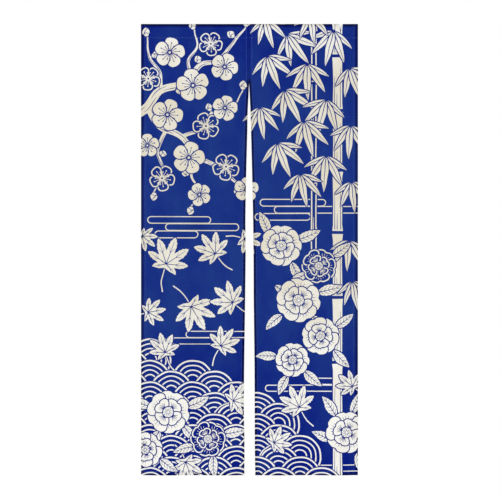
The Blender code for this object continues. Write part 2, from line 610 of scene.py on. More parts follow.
@dataclass(frozen=True)
class WaveScale(Motif):
    """One scale of the wave pattern: a fan of rings, which the row below half covers."""

    SPREAD = 124.0
    POINTS = 29
    RINGS = (1.0, 0.925, 0.78, 0.72, 0.56, 0.50, 0.34, 0.28)

    def draw(self) -> list[Shape]:
        """Draws the rings from the outside in, by turns undyed and dyed.

        Returns:
            The shapes, the first painted first, all ending on the fan's two sides.
        """
        turns = np.linspace(-self.SPREAD, self.SPREAD, self.POINTS)
        fan = np.array([*(polar(self.size / 2, turn) for turn in turns), (0, 0)])
        inks = (Ink.RESIST, Ink.DYE)
        rim = Shape(fan * (1 + 2 * self.RIM / self.size), Ink.DYE)
        return [rim] + [Shape(fan * share, inks[k % 2]) for k, share in enumerate(self.RINGS)]


@dataclass(frozen=True)
class Culm(Motif):
    """One joint of a bamboo culm: its foot at the origin, its ridge at the top."""

    girth: float = 34.0

    # Each point of its side: millimetres past half the girth, share of the length up, millimetres down.
    SIDE = (
        (1.5, 0.0, -3.0), (-1.0, 0.12, 0.0), (-1.5, 0.5, 0.0), (-0.5, 0.88, 0.0), (2.0, 1.0, 5.0),
    )
    # Each line of its shading: share of the girth across, share of the length.
    SHADING = ((-0.30, 0.62), (-0.06, 0.30), (0.30, 0.78))
    SHADING_FOOT = -10.0
    SHADING_DRAWN_IN = 0.96
    SHADING_WIDTHS = (3.0, 1.2)

    def draw(self) -> list[Shape]:
        """Draws the tube, slightly drawn in, with the lines of its shaded side.

        Returns:
            The shapes, in order.
        """
        half, length = self.girth / 2, self.size
        right = [(half + out, down - up * length) for out, up, down in self.SIDE]
        shapes = self.body(np.array(right + [(-x, y) for x, y in right[::-1]]))
        for across, reach in self.SHADING:
            foot = across * self.girth
            line = [(foot, self.SHADING_FOOT), (foot * self.SHADING_DRAWN_IN, -reach * length)]
            shapes.append(Shape(ribbon(line, self.SHADING_WIDTHS), self.detail()))
        return shapes


@dataclass(frozen=True)
class Tree:
    """The branches of one tree.

    Args:
        branches: For each branch the points of its line, and its widths from foot to tip.
        rim: Width of the dye about the wood.
    """

    branches: tuple
    rim: float = 3.2

    # Grain lines: spacing and length in points, the least width that has them, and where they run
    # by turns, as shares of the width.
    GRAIN_STEP = 4
    GRAIN_LENGTH = 6
    GRAIN_LEAST = 10.0
    GRAIN_SHIFTS = (-0.20, 0.22)
    GRAIN_WIDTHS = (1.2, 3.0, 1.2)

    def shapes(self) -> list[Shape]:
        """Draws a rim of dye about all the wood, then the wood, then short grain lines on it.

        Returns:
            The shapes, in order.
        """
        lines = [(curve(line), widths) for line, widths in self.branches]
        shapes = [Shape(ribbon(line, [w + 2 * self.rim for w in widths]), Ink.DYE) for line, widths in lines]
        shapes += [Shape(ribbon(line, widths), Ink.RESIST) for line, widths in lines]
        return shapes + [grain for line, widths in lines for grain in self.grain(line, widths)]

    def grain(self, line: Array, widths: Sequence[float]) -> list[Shape]:
        """Draws short dyed lines along the thick part of a branch, on its two sides by turns.

        Args:
            line: The branch's points.
            widths: Its widths, evenly spread along it.

        Returns:
            The shapes.
        """
        side = beside(line)
        width = np.interp(np.linspace(0, 1, len(line)), np.linspace(0, 1, len(widths)), widths)
        shapes = []
        for k in range(1, len(line) - self.GRAIN_LENGTH, self.GRAIN_STEP):
            if width[k] < self.GRAIN_LEAST:
                continue
            run = slice(k, k + self.GRAIN_LENGTH)
            shift = self.GRAIN_SHIFTS[(k // self.GRAIN_STEP) % 2] * width[run, None]
            shapes.append(Shape(ribbon(line[run] + side[run] * shift, self.GRAIN_WIDTHS), Ink.DYE))
        return shapes


@dataclass(frozen=True)
class Mist:
    """A bank of mist: level bars with round ends, in outline.

    Args:
        bars: For each bar its first and last place across, its middle down and its height.
        line: Width of the outline.
    """

    bars: tuple
    line: float = 3.8

    CAP_POINTS = 9

    def shapes(self) -> list[Shape]:
        """Draws each bar as an undyed outline about the dyed ground.

        Returns:
            The shapes, in order.
        """
        outer = [Shape(self.bar(a, b, down, tall), Ink.RESIST) for a, b, down, tall in self.bars]
        inner = [Shape(self.bar(a + self.line, b - self.line, down, tall - 2 * self.line), Ink.DYE)
                 for a, b, down, tall in self.bars]
        return outer + inner

    def bar(self, first: float, last: float, down: float, height: float) -> Array:
        """Outlines one level bar.

        Args:
            first: Its left end.
            last: Its right end.
            down: Its middle line.
            height: How tall it is.

        Returns:
            The closed outline.
        """
        turn = np.radians(np.linspace(0, 180, self.CAP_POINTS))
        cap = np.stack([np.sin(turn), -np.cos(turn)], axis=1) * height / 2
        return np.vstack([cap + (last - height / 2, down), -cap + (first + height / 2, down)])


class Print:
    """The whole print: plum over drifting maple leaves, bamboo over camellias, waves below both."""

    # Each branch: the points of its line, and its widths from foot to tip.
    PLUM = (
        (((-480, 372), (-405, 330), (-352, 262), (-262, 232), (-190, 160), (-120, 140), (-52, 58), (-20, 20)),
         (36, 34, 26, 18, 12, 6)),
        (((-400, 322), (-352, 400), (-268, 440), (-205, 520), (-120, 560), (-40, 630), (20, 650)),
         (28, 24, 18, 12, 6)),
        (((-350, 270), (-352, 190), (-392, 130), (-400, 60)), (18, 14, 9, 5)),
        (((-232, 205), (-238, 140), (-205, 90), (-215, 30)), (14, 11, 8, 4)),
        (((-262, 440), (-190, 410), (-150, 350), (-70, 330), (-30, 268)), (15, 11, 8, 6, 4)),
        (((-330, 420), (-360, 500), (-335, 580), (-370, 650)), (15, 12, 8, 4)),
        (((-205, 520), (-228, 590), (-200, 650), (-222, 706)), (12, 9, 7, 4)),
    )
    # Each blossom, maple leaf and camellia: across, down, size, turn, and True if lined.
    BLOSSOMS = (
        (-312, 112, 118, 10), (-152, 78, 96, 30, True), (-222, 240, 128, -8),
        (-98, 168, 108, 24), (-396, 214, 96, 40, True), (-322, 356, 124, 20),
        (-170, 400, 108, -20, True), (-400, 476, 92, 0), (-238, 524, 126, 15),
        (-96, 330, 100, 12), (-92, 560, 108, 40, True), (-342, 604, 104, 30, True),
        (-196, 668, 90, 50), (-12, 648, 96, 5),
    )
    # Each bud, spray and leaf: across, down, size, turn.
    BUDS = (
        (-20, 20, 32, 20), (-52, 58, 30, -50), (-400, 60, 32, -10), (-392, 130, 28, 70),
        (-215, 30, 30, -20), (-205, 90, 26, 80), (-30, 268, 32, 10), (-150, 350, 28, -20),
        (-190, 410, 26, 190), (-370, 650, 30, 190), (-360, 500, 26, 110), (-222, 706, 30, 200),
        (-228, 590, 26, -80), (-40, 630, 28, 200), (-280, 238, 26, 170), (-190, 160, 28, -30),
    )
    # Each bar: first and last place across, down, height.
    MIST = (
        (-400, -150, 768, 30), (-330, -40, 796, 30), (-372, -200, 824, 30), (40, 300, 700, 30),
        (96, 440, 728, 30), (20, 240, 756, 30), (-250, 10, 1216, 28), (-330, -90, 1242, 28),
        (236, 440, 1400, 28), (60, 360, 1426, 28), (250, 460, 1740, 28),
    )
    SPRAYS = (
        (150, 44, 140, 150), (330, 30, 140, 200), (70, 128, 136, 165), (226, 160, 140, 185),
        (392, 176, 130, 165), (140, 262, 142, 160), (300, 300, 140, 200), (40, 330, 124, 178),
        (215, 384, 142, 172), (396, 400, 130, 190), (110, 470, 140, 165), (300, 520, 140, 190),
        (200, 590, 130, 175), (400, 620, 120, 180), (390, 850, 120, 190), (404, 1010, 112, 176),
        (60, -20, 120, 170), (240, -40, 120, 180),
    )
    # Each culm: across, girth, lined, and for each joint how far down its foot is and its length.
    CULMS = (
        (252, 24, True, ((1010, 190), (816, 200), (612, 200), (408, 190), (214, 180), (30, 180))),
        (345, 38, False, ((1800, 230), (1566, 240), (1322, 250), (1068, 250), (814, 240), (570, 230),
                          (336, 210), (122, 200), (-82, 120))),
    )
    MAPLES = (
        (-326, 940, 222, 20), (-134, 900, 186, -35), (-228, 1106, 216, 150),
        (-398, 1130, 146, 80), (-66, 1092, 190, -50), (-20, 842, 146, 110),
        (-330, 1286, 160, -15), (-112, 1262, 168, 35), (-420, 830, 130, 130),
        (-64, 1476, 172, 70), (-250, 1716, 160, 160), (196, 1502, 186, -25),
        (96, 1640, 150, 60), (404, 1420, 140, -50),
    )
    CAMELLIAS = (
        (124, 868, 154, 0), (272, 948, 130, 30, True), (192, 1082, 166, 12),
        (278, 1222, 140, 50), (168, 1316, 128, 5), (-318, 1520, 160, 15),
        (-162, 1626, 134, 33, True), (-408, 1668, 130, 50), (380, 1600, 156, 0),
    )
    LEAVES = (
        (186, 846, 98, 62), (74, 822, 92, -28), (166, 934, 84, 148), (326, 908, 86, 48),
        (224, 978, 80, -128), (100, 1026, 76, 112), (268, 1050, 98, 70), (126, 1140, 84, -138),
        (246, 1144, 84, 128), (338, 1186, 84, 48), (228, 1276, 84, -128), (108, 1302, 84, -96),
        (214, 1360, 90, 124), (330, 1278, 90, 132), (150, 1376, 84, 200),
        (-246, 1500, 96, 60), (-352, 1592, 90, 200), (-388, 1500, 84, -80), (-262, 1572, 84, 130),
        (-102, 1604, 90, 75), (-216, 1656, 84, -110), (-142, 1692, 84, 170), (-350, 1704, 84, 120),
        (338, 1536, 92, -40), (400, 1526, 84, 14), (316, 1632, 80, -70), (424, 1680, 84, 160),
    )
    LEAF_TEETH = 7
    WAVE_SIZE = 168.0
    WAVE_ROWS = (1190.0, 1880.0)
    WAVE_COLUMNS = range(-5, 5)
    WAVE_SHIFT = 30.0
    CREST = 1346.0
    SWELL = 56.0
    SWELL_START = -330.0
    SWELL_LENGTH = 85.0
    CREST_FALL = 0.95
    FALL_FROM = -150.0
    TREMOR = 0.7
    TREMOR_LENGTHS = (9.0, 23.0, 11.0, 19.0)

    def crest(self, across: float) -> float:
        """How far down the waves begin: a swell that falls away to the right."""
        swell = self.SWELL * math.sin((across - self.SWELL_START) / self.SWELL_LENGTH)
        return self.CREST + swell + self.CREST_FALL * max(across - self.FALL_FROM, 0)

    def waves(self) -> list[Shape]:
        """Draws rows of wave scales below the crest, each row half covering the last.

        Returns:
            The shapes, in order.
        """
        size, (down, foot) = self.WAVE_SIZE, self.WAVE_ROWS
        shapes, row = [], 0
        while down < foot:
            for k in self.WAVE_COLUMNS:
                across = k * size + (size / 2 if row % 2 else 0) + self.WAVE_SHIFT
                if down > self.crest(across):
                    shapes += WaveScale(across, down, size).shapes()
            down += size / 4
            row += 1
        return shapes

    def shapes(self) -> list[Shape]:
        """Draws the whole print, with the tremor of a hand-cut stencil.

        Returns:
            The shapes, in order.
        """
        shapes = Mist(self.MIST).shapes()
        for across, girth, lined, joints in self.CULMS:
            for foot, length in joints:
                shapes += Culm(across, foot, length, lined=lined, girth=girth).shapes()
        shapes += self.waves() + Tree(self.PLUM).shapes()
        motifs = [Bud(*row) for row in self.BUDS] + [Blossom(*row) for row in self.BLOSSOMS]
        motifs += [BambooSpray(*row) for row in self.SPRAYS] + [MapleLeaf(*row) for row in self.MAPLES]
        motifs += [Leaf(*row, teeth=self.LEAF_TEETH) for row in self.LEAVES]
        motifs += [Camellia(*row) for row in self.CAMELLIAS]
        shapes += [shape for motif in motifs for shape in motif.shapes()]
        return [Shape(self.trembled(s.outline), s.ink) for s in shapes]

    def trembled(self, outline: Array) -> Array:
        """Makes an outline waver by less than a millimetre.

        Args:
            outline: The closed outline.

        Returns:
            The wavering one.
        """
        x, y = outline.T
        a, b, c, d = self.TREMOR_LENGTHS
        shift = np.stack([np.sin(y / a + np.sin(x / b)), np.sin(x / c + np.sin(y / d) + 2.0)], axis=1)
        return outline + self.TREMOR * shift


class Side(Enum):
    """Which of the two cloths, by the way that it lies from the middle."""

    LEFT = -1
    RIGHT = 1


def smooth(share: Array) -> Array:
    """Shares from 0 to 1, eased at both ends."""
    share = np.clip(share, 0, 1)
    return share * share * (3 - 2 * share)


def unit(vectors: Array) -> Array:
    """The vectors at length 1; one of no length stays so."""
    return vectors / np.maximum(np.linalg.norm(vectors, axis=-1)[..., None], 1e-30)


@dataclass(frozen=True)
class Turning:
    """An edge turned to the back: a round fold, a flat band, and a lip that is tucked under.

    Args:
        band: Width of the sewn-down band.
        radius: Radius of the fold at the edge, to the printed face.
        lip: Radius of the fold at the band's other side.
    """

    band: float
    radius: float = 0.45 * MM
    lip: float = 0.30 * MM

    STITCH_INSET = 1.6 * MM
    # Lines of points that the mesh keeps: inside the edge, round the fold and round the lip.
    BAND_SHARES = (0.5, 0.2)
    FOLD_SHARES = (0, 0.25, 0.5, 0.75, 1)
    LIP_SHARES = (0, 0.5, 1)
    # Cloth inside a fold can lie no further from its outer layer than this share of the radius.
    FOLD_ROOM = 0.9
    LIP_ROOM = 0.5

    @property
    def reach(self) -> float:
        """Flat cloth past the fold line."""
        return math.pi * (self.radius + self.lip) + self.band

    @property
    def stitch(self) -> float:
        """How far inside the edge its line of stitches runs."""
        return self.band - self.STITCH_INSET

    def creases(self) -> list[float]:
        """Finds where the triangulation needs a line of points.

        Returns:
            Distances past the fold line.
        """
        fold, lip = math.pi * self.radius, math.pi * self.lip
        front = [-self.band, -self.stitch, *(-share * self.band for share in self.BAND_SHARES)]
        round_fold = [share * fold for share in self.FOLD_SHARES]
        return front + round_fold + [fold + self.band + share * lip for share in self.LIP_SHARES]

    def path(self, past: Array) -> tuple[Array, Array, Array]:
        """Where cloth lies that is this far past the fold line.

        Args:
            past: Flat distances past the fold line, below 0 inside it.

        Returns:
            How far out it lies, how far to the back, and the angle it has turned through.
        """
        fold = math.pi * self.radius
        first = np.clip(past / self.radius, 0, math.pi)
        second = np.clip((past - fold - self.band) / self.lip, 0, math.pi)
        flat = np.clip(past - fold, 0, self.band)
        out = np.minimum(past, 0) + self.radius * np.sin(first) - flat - self.lip * np.sin(second)
        back = self.radius * (1 - np.cos(first)) - self.lip * (1 - np.cos(second))
        return out, back, first + second

    def carry(self, past: Array, behind: Array) -> tuple[Array, Array]:
        """Where cloth lies that is already behind the face, as under a hem sewn before this one.

        Args:
            past: Flat distances past the fold line.
            behind: How far behind the face it lies, pressed closer where it goes round a fold.

        Returns:
            How far out it lies, and how far to the back.
        """
        out, back, turn = self.path(past)
        for room, start in ((self.FOLD_ROOM * self.radius, 0), (self.LIP_ROOM * self.lip, math.pi)):
            pressed = room * np.tanh(behind / room)
            behind = behind + (pressed - behind) * smooth((turn - start) / (math.pi / 2))
        return out - behind * np.sin(turn), back + behind * np.cos(turn)


@dataclass(frozen=True)
class SoftFold:
    """A soft fold that runs down a cloth, flat where it starts and deepest at the hem.

    Args:
        side: Which cloth it is in.
        centre: Where its middle reaches the foot, right of the curtain's middle.
        width: How broad it is.
        forward: How far forward its middle comes at the foot, below 0 if it goes back.
        lean: How much further right its middle is at the top.
        starts: Where it starts, below the top edge.
    """

    side: Side
    centre: float
    width: float
    forward: float
    lean: float
    starts: float

    def depth(self, across: Array, down: Array, drop: float) -> Array:
        """How far back this fold carries the cloth.

        Args:
            across: Places across the flat cloth.
            down: Places down it.
            drop: The curtain's height.

        Returns:
            The depths.
        """
        grown = smooth((down - self.starts) / (drop - self.starts))
        centre = self.centre + self.lean * (1 - down / drop)
        away = np.minimum(np.abs(across - centre) / (self.width / 2), 1)
        return -self.forward * grown * (1 + np.cos(np.pi * away)) / 2


@dataclass(frozen=True)
class Crease:
    """A slight trough in the cloth, or a ridge where its depth is below 0.

    Args:
        across: Its middle, right of the curtain's middle.
        down: Its middle, below the top edge.
        length: How far it runs.
        turn: Degrees clockwise from straight down.
        width: How broad it is.
        deep: How far back its middle lies.
    """

    across: float
    down: float
    length: float
    turn: float
    width: float
    deep: float

    def depth(self, across: Array, down: Array) -> Array:
        """How far back this crease carries the cloth.

        Args:
            across: Places across the flat cloth.
            down: Places down it.

        Returns:
            The depths.
        """
        turn = math.radians(self.turn)
        x, y = across - self.across, down - self.down
        along = -x * math.sin(turn) + y * math.cos(turn)
        beside_it = x * math.cos(turn) + y * math.sin(turn)
        fade = smooth(1 - np.abs(along) / (self.length / 2))
        return self.deep * fade * np.exp(-((beside_it / (self.width / 2)) ** 2))


@dataclass
class Hang:
    """How both cloths hang: from a place on the flat cloth to the place in the room.

    The flat cloth is measured as it hangs, across from the curtain's middle and down from
    its top edge. Above the pocket's stitch line the cloth goes round the pocket, so there
    the distance down is measured along the cloth, up the front and down the back.

    Args:
        forward: How far the printed face lies in front of the middle plane.
        side_hem: The outer sides' hem; the others are named alike.
        pocket_depth: The pocket, front to back; its back is sewn pocket_back behind the plane.
        past_stitch: How far the pocket's back hangs below its stitches.
        slit_head: How far down the slit starts.
        slit_gap: How much wider the slit is, eased in over slit_ease.
        slit_rows: Down, and across for the left and the right cloth's slit edge.
        creases: Slight troughs and ridges, starting over crease_ease below the pocket.
        slack: How unevenly the pocket bulges along its length, with slack_waves.
        pucker_height: How far cloth is drawn beside stitches, within pucker_reach of them.
        pucker_waves: Ripple lengths along the side, slit and foot hems and the pocket's stitches.
    """

    forward: float = 1.2 * MM
    thickness: float = 0.3 * MM
    side_hem: Turning = Turning(17 * MM)
    slit_hem: Turning = Turning(12 * MM)
    foot_hem: Turning = Turning(16 * MM, radius=0.95 * MM, lip=0.45 * MM)
    pocket_edge: Turning = Turning(6 * MM, radius=0.40 * MM)
    pocket_depth: float = 16 * MM
    pocket_back: float = 0.8 * MM
    past_stitch: float = 3 * MM
    slit_head: float = 0.235
    slit_gap: float = 0.15 * MM
    slit_ease: float = 0.01
    slit_rows: tuple = (
        (0.235, -0.0015, -0.0015), (0.290, -0.0040, 0.0012), (0.340, -0.0066, 0.0036),
        (0.435, -0.0086, 0.0062), (0.575, -0.0122, 0.0098), (0.765, -0.0156, 0.0140),
        (0.900, -0.0148, 0.0156), (1.100, -0.0170, 0.0166), (1.325, -0.0202, 0.0194),
        (1.520, -0.0216, 0.0202), (1.640, -0.0194, 0.0206), (1.768, -0.0196, 0.0224),
    )
    folds: tuple = (
        SoftFold(Side.LEFT, -0.425, 0.150, -0.0090, 0.000, 0.20),
        SoftFold(Side.LEFT, -0.330, 0.190, 0.0085, 0.020, 0.10),
        SoftFold(Side.LEFT, -0.205, 0.180, -0.0080, -0.015, 0.14),
        SoftFold(Side.LEFT, -0.105, 0.150, 0.0070, 0.010, 0.26),
        SoftFold(Side.LEFT, -0.020, 0.110, -0.0085, 0.000, 0.24),
        SoftFold(Side.RIGHT, 0.020, 0.120, -0.0070, 0.000, 0.24),
        SoftFold(Side.RIGHT, 0.110, 0.170, 0.0080, -0.012, 0.26),
        SoftFold(Side.RIGHT, 0.235, 0.200, -0.0085, 0.018, 0.12),
        SoftFold(Side.RIGHT, 0.345, 0.160, 0.0065, -0.010, 0.18),
        SoftFold(Side.RIGHT, 0.425, 0.140, -0.0110, 0.000, 0.16),
    )
    creases: tuple = (
        Crease(-0.040, 0.300, 0.150, 38, 0.022, 0.0016),
        Crease(0.036, 0.296, 0.140, -34, 0.022, 0.0015),
        Crease(-0.075, 0.250, 0.130, 68, 0.024, 0.0010),
        Crease(0.074, 0.246, 0.150, -66, 0.026, 0.0012),
        Crease(-0.300, 0.180, 0.210, 12, 0.030, 0.0012),
        Crease(-0.160, 0.150, 0.170, -9, 0.026, 0.0010),
        Crease(0.150, 0.160, 0.190, 8, 0.028, 0.0012),
        Crease(0.320, 0.190, 0.230, -11, 0.030, 0.0014),
        Crease(-0.225, 0.105, 0.110, -24, 0.018, 0.0013),
        Crease(-0.130, 0.112, 0.120, 21, 0.018, 0.0012),
        Crease(0.235, 0.108, 0.110, 26, 0.018, 0.0012),
        Crease(-0.360, 0.640, 0.300, 6, 0.026, 0.0015),
        Crease(-0.190, 0.820, 0.340, -7, 0.030, 0.0016),
        Crease(0.130, 0.760, 0.300, 9, 0.028, 0.0015),
        Crease(0.330, 0.900, 0.360, -5, 0.032, 0.0018),
        Crease(-0.090, 1.240, 0.300, 10, 0.028, -0.0015),
        Crease(-0.310, 1.330, 0.340, -6, 0.034, -0.0016),
        Crease(0.080, 1.330, 0.280, -12, 0.028, -0.0016),
        Crease(0.250, 1.420, 0.330, 7, 0.032, -0.0015),
    )
    crease_ease: float = 0.03
    slack: float = 0.07
    slack_waves: tuple = (0.061, 0.143)
    pucker_height: float = 0.22 * MM
    pucker_reach: float = 0.008
    pucker_waves: tuple = (0.019, 0.023, 0.021, 0.026)

    SLACK_SHIFT = 0.6
    # A pucker's even part and its swing, the swing's length in ripples, and each line's shift.
    PUCKER_EVEN = 0.6
    PUCKER_SWING = 0.4
    PUCKER_SLOW = 2.3
    PUCKER_SHIFT = 1.7
    ARC_POINTS = 600
    FALL_POINTS = 1200
    PROBE = 0.02 * MM
    # Painted shade at the pocket's round top, where the cloth turns away: its band, and the power and share
    # by which its tone rises.
    TOP_SHADE_BAND = 15 * MM
    TOP_SHADE_POWER = 1.5
    TOP_SHADE_SHARE = 0.85
    # Bands turned to the back have this part of their edge's tone.
    BAND_TONE = 0.4
    # Painted shade of the narrow slit hems' folds reaches almost to their stitches; the seam above them is
    # not shaded so.
    SLIT_SHADE_POWER = 2.4
    SEAM_SHADE_EASE = 0.80
    SEAM_FADE = 0.03

    def __post_init__(self) -> None:
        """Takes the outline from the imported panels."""
        low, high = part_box("panel_left")[0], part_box("panel_right")[1]
        self.drop = -low.z
        self.half_width = high.x
        self.foot = -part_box("panel_left")[1].z
        self.side_line = self.half_width - self.side_hem.radius
        self.foot_line = self.drop - self.foot_hem.radius
        self.profile = self.pocket_profile()
        along, _, up = self.profile
        self.pocket_line = self.foot - 2 * along[np.argmax(up)] - self.past_stitch

    def pocket_profile(self) -> tuple[Array, Array, Array]:
        """Works out the pocket's section, from the front's stitches round the top to its back.

        Returns:
            Distances along the cloth, and their places back and up.
        """
        radius = self.pocket_depth / 2
        turn = np.linspace(math.pi / 2, 0, self.ARC_POINTS)
        arc = np.stack([radius * np.sin(turn), radius * (1 - np.cos(turn))], axis=1)
        share = np.linspace(1, 0, self.FALL_POINTS, endpoint=False)
        fall = self.forward + (radius - self.forward) * (1 + np.cos(np.pi * share)) / 2
        front = np.vstack([np.stack([fall, radius + (self.foot - radius) * share], axis=1), arc])
        back = front[-2::-1].copy()
        back[:, 0] -= (self.forward - self.pocket_back) * smooth(back[:, 1] / self.foot)
        tail = back[-1] + np.array([[0, 1], [0, 2]]) * self.past_stitch
        points = np.vstack([front * (-1, 1), back, tail])
        along = np.concatenate([[0], np.cumsum(np.linalg.norm(np.diff(points, axis=0), axis=1))])
        return along, points[:, 0], -points[:, 1]

    def slit_edge(self, side: Side, down: Array) -> Array:
        """A smooth curve through the slit's table.

        Args:
            side: Which cloth's edge.
            down: Places down.

        Returns:
            How far across the edge lies there.
        """
        table = np.array(self.slit_rows)
        at, across = table[:, 0], table[:, 1 if side is Side.LEFT else 2]
        rows = np.arange(len(at))
        before, after = np.maximum(rows - 1, 0), np.minimum(rows + 1, len(at) - 1)
        slope = (across[after] - across[before]) / (at[after] - at[before])
        down = np.clip(down, at[0], at[-1])
        i = np.clip(np.searchsorted(at, down, side="right") - 1, 0, len(at) - 2)
        span = at[i + 1] - at[i]
        share = (down - at[i]) / span
        between = across[i] + (across[i + 1] - across[i]) * smooth(share)
        leaving, coming = slope[i] * share * (1 - share) ** 2, slope[i + 1] * share**2 * (1 - share)
        return between + span * (leaving - coming)

    def slit_line(self, side: Side, down: Array) -> Array:
        """How far out from the middle the slit hem's fold line lies."""
        parted = self.slit_gap * smooth((down - self.slit_head) / self.slit_ease)
        return side.value * self.slit_edge(side, down) + self.slit_hem.radius + parted

    def face(self, side: Side, across: Array, down: Array) -> Array:
        """The printed face before hems: on the panel, or round the pocket above it.

        Args:
            side: Which cloth.
            across: Places across the flat cloth.
            down: Places down it.

        Returns:
            Points in the room.
        """
        along, back, up = self.profile
        round_pocket = np.maximum(self.foot - down, 0)
        short, long = self.slack_waves
        slack = 1 + self.slack * np.sin(across / short + self.SLACK_SHIFT) * np.sin(across / long)
        y = np.interp(round_pocket, along, back)
        bulge = np.sign(y) * (self.forward + (np.abs(y) - self.forward) * slack)
        y = np.where(np.abs(y) > self.forward, bulge, y)
        for fold in self.folds:
            if fold.side is side:
                y = y + fold.depth(across, down, self.drop)
        below = smooth((down - self.foot) / self.crease_ease)
        y = y + below * sum(crease.depth(across, down) for crease in self.creases)
        z = np.where(down > self.foot, -down, np.interp(round_pocket, along, up))
        return np.stack([across, y, z], axis=-1)

    def folded(self, side: Side, across: Array, down: Array) -> tuple[Array, Array, Array]:
        """Where the hems carry the flat cloth.

        Args:
            side: Which cloth.
            across: Places across the flat cloth.
            down: Places down it.

        Returns:
            Places across and down, and how far behind the face.
        """
        outward = side.value * across
        slit_line = self.slit_line(side, down)
        past_side, past_slit = outward - self.side_line, slit_line - outward
        side_out, side_back = self.side_hem.path(past_side)[:2]
        slit_out, slit_back = self.slit_hem.path(past_slit)[:2]
        at_side = past_side > past_slit
        outward = np.where(at_side, self.side_line + side_out, slit_line - slit_out)
        back = np.where(at_side, side_back, slit_back)
        foot_out, foot_back = self.foot_hem.carry(down - self.foot_line, back)
        top_out, top_back = self.pocket_edge.carry(self.pocket_line - down, back)
        at_foot = down > self.foot
        new_down = np.where(at_foot, self.foot_line + foot_out, self.pocket_line - top_out)
        return side.value * outward, new_down, np.where(at_foot, foot_back, top_back)

    def pucker(self, side: Side, across: Array, down: Array) -> Array:
        """How far back, or forward where below 0, stitches draw the cloth beside them.

        Args:
            side: Which cloth.
            across: Places across.
            down: Places down.

        Returns:
            The distances.
        """
        outward = side.value * across
        lines = (
            (self.side_line - self.side_hem.stitch - outward, down),
            (outward - self.slit_line(side, down) - self.slit_hem.stitch, down),
            (self.foot_line - self.foot_hem.stitch - down, across),
            (np.abs(down - self.foot) + 0 * across, across),
        )
        drawn = np.zeros_like(across + down)
        for k, ((off, along), wave) in enumerate(zip(lines, self.pucker_waves)):
            swing = self.PUCKER_EVEN + self.PUCKER_SWING * np.sin(along / (self.PUCKER_SLOW * wave) + k)
            ripple = np.sin(2 * np.pi * along / wave + self.PUCKER_SHIFT * k) * swing
            drawn = drawn + self.pucker_height * ripple * np.exp(-((off / self.pucker_reach) ** 2))
        return drawn

    def place(self, side: Side, across: Array, down: Array) -> Array:
        """Hangs the flat cloth's printed face, hems and puckers included.

        Args:
            side: Which cloth.
            across: Places across the flat cloth.
            down: Places down it.

        Returns:
            Points in the room.
        """
        across, down, back = self.folded(side, across, down)
        depth = (back + self.pucker(side, across, down))[..., None]
        return self.face(side, across, down) - depth * self.normals(self.face, side, across, down)

    def normals(self, surface: Callable, side: Side, across: Array, down: Array) -> Array:
        """Which way a surface looks, found by a small step each way.

        Args:
            surface: The method that gives its points, face or place.
            side: Which cloth.
            across: Places across the flat cloth.
            down: Places down it.

        Returns:
            Unit normals.
        """
        step = self.PROBE
        by_across = surface(side, across + step, down) - surface(side, across - step, down)
        by_down = surface(side, across, down + step) - surface(side, across, down - step)
        return unit(np.cross(by_down, by_across))

    def hem_share(self, side: Side, across: Array, down: Array) -> Array:
        """How far in from the nearest edge the cloth lies.

        The pocket's round top counts as an edge too, for painted shade where the cloth turns away,
        but has no ridge of stitches. Bands that are turned to the back are less dark than the edge
        that they are turned at.

        Args:
            side: Which cloth.
            across: Places across the flat cloth.
            down: Places down it.

        Returns:
            Shares of the hem there, 0 at the edge and 1 at its inner side.
        """
        flat_out = side.value * across
        turned_back = (flat_out > self.side_line) | (flat_out < self.slit_line(side, down))
        turned_back |= down > self.foot_line
        across, down, _ = self.folded(side, across, down)
        outward = side.value * across
        # below_top paints shade where the pocket's top turns away.
        below_top = np.clip(-self.face(side, across, down)[..., 2] / self.TOP_SHADE_BAND, 0, None)
        below_top = below_top**self.TOP_SHADE_POWER
        # The slit term paints shade along the slit hems' folds, eased off at the seam above the slit.
        at_slit = np.clip((outward - self.slit_line(side, down)) / self.slit_hem.band, 0, None)
        in_seam = smooth((self.slit_head - down) / self.SEAM_FADE)
        shares = (
            (self.half_width - outward) / self.side_hem.band,
            1 - (1 - at_slit**self.SLIT_SHADE_POWER) * (1 - self.SEAM_SHADE_EASE * in_seam),
            (self.drop - down) / self.foot_hem.band,
            np.where(below_top < 1, self.TOP_SHADE_SHARE * below_top, 1),
        )
        share = np.minimum.reduce(shares)
        return np.where(turned_back, 1 - self.BAND_TONE * (1 - share), share)


def covered(outline: Array, points: Array) -> Array:
    """Tests which points lie inside an outline, by its turns about each.

    Args:
        outline: The closed outline.
        points: The points.

    Returns:
        True for each that lies inside.
    """
    a, b = outline, np.roll(outline, -1, axis=0)
    x, y = points[:, :1], points[:, 1:]
    turn = (b[:, 0] - a[:, 0]) * (y - a[:, 1]) - (x - a[:, 0]) * (b[:, 1] - a[:, 1])
    from_above, to_above = a[:, 1] <= y, b[:, 1] <= y
    winding = (from_above & ~to_above & (turn > 0)).sum(1) - (~from_above & to_above & (turn < 0)).sum(1)
    return winding != 0


def resist_at(points: Array, shapes: Sequence[Shape]) -> Array:
    """Tests which points the print leaves undyed.

    Args:
        points: Places in millimetres.
        shapes: The print, the first painted first.

    Returns:
        True for each that is undyed.
    """
    order = np.argsort(points[:, 1])
    heights = points[order, 1]
    resist = np.zeros(len(points), bool)
    for shape in shapes:
        (left, top), (right, bottom) = shape.outline.min(0), shape.outline.max(0)
        rows = order[np.searchsorted(heights, top) : np.searchsorted(heights, bottom)]
        rows = rows[(points[rows, 0] > left) & (points[rows, 0] < right)]
        if len(rows):
            resist[rows[covered(shape.outline, points[rows])]] = shape.ink is Ink.RESIST
    return resist


def triangulated(points: Array, edges: Array) -> tuple[Array, Array]:
    """Joins points of the plane in triangles, with each of the edges kept.

    Args:
        points: Places in millimetres.
        edges: Pairs of point numbers.

    Returns:
        The points, those too near to each other as one, and the triangles.
    """
    found = delaunay_2d_cdt([Vector(p) for p in points.tolist()], edges.tolist(), [], 0, NEAREST_MM, False)
    fans = [(face[0], b, c) for face in found[2] for b, c in zip(face[1:], face[2:])]
    return np.array([tuple(p) for p in found[0]]), np.array(fans)


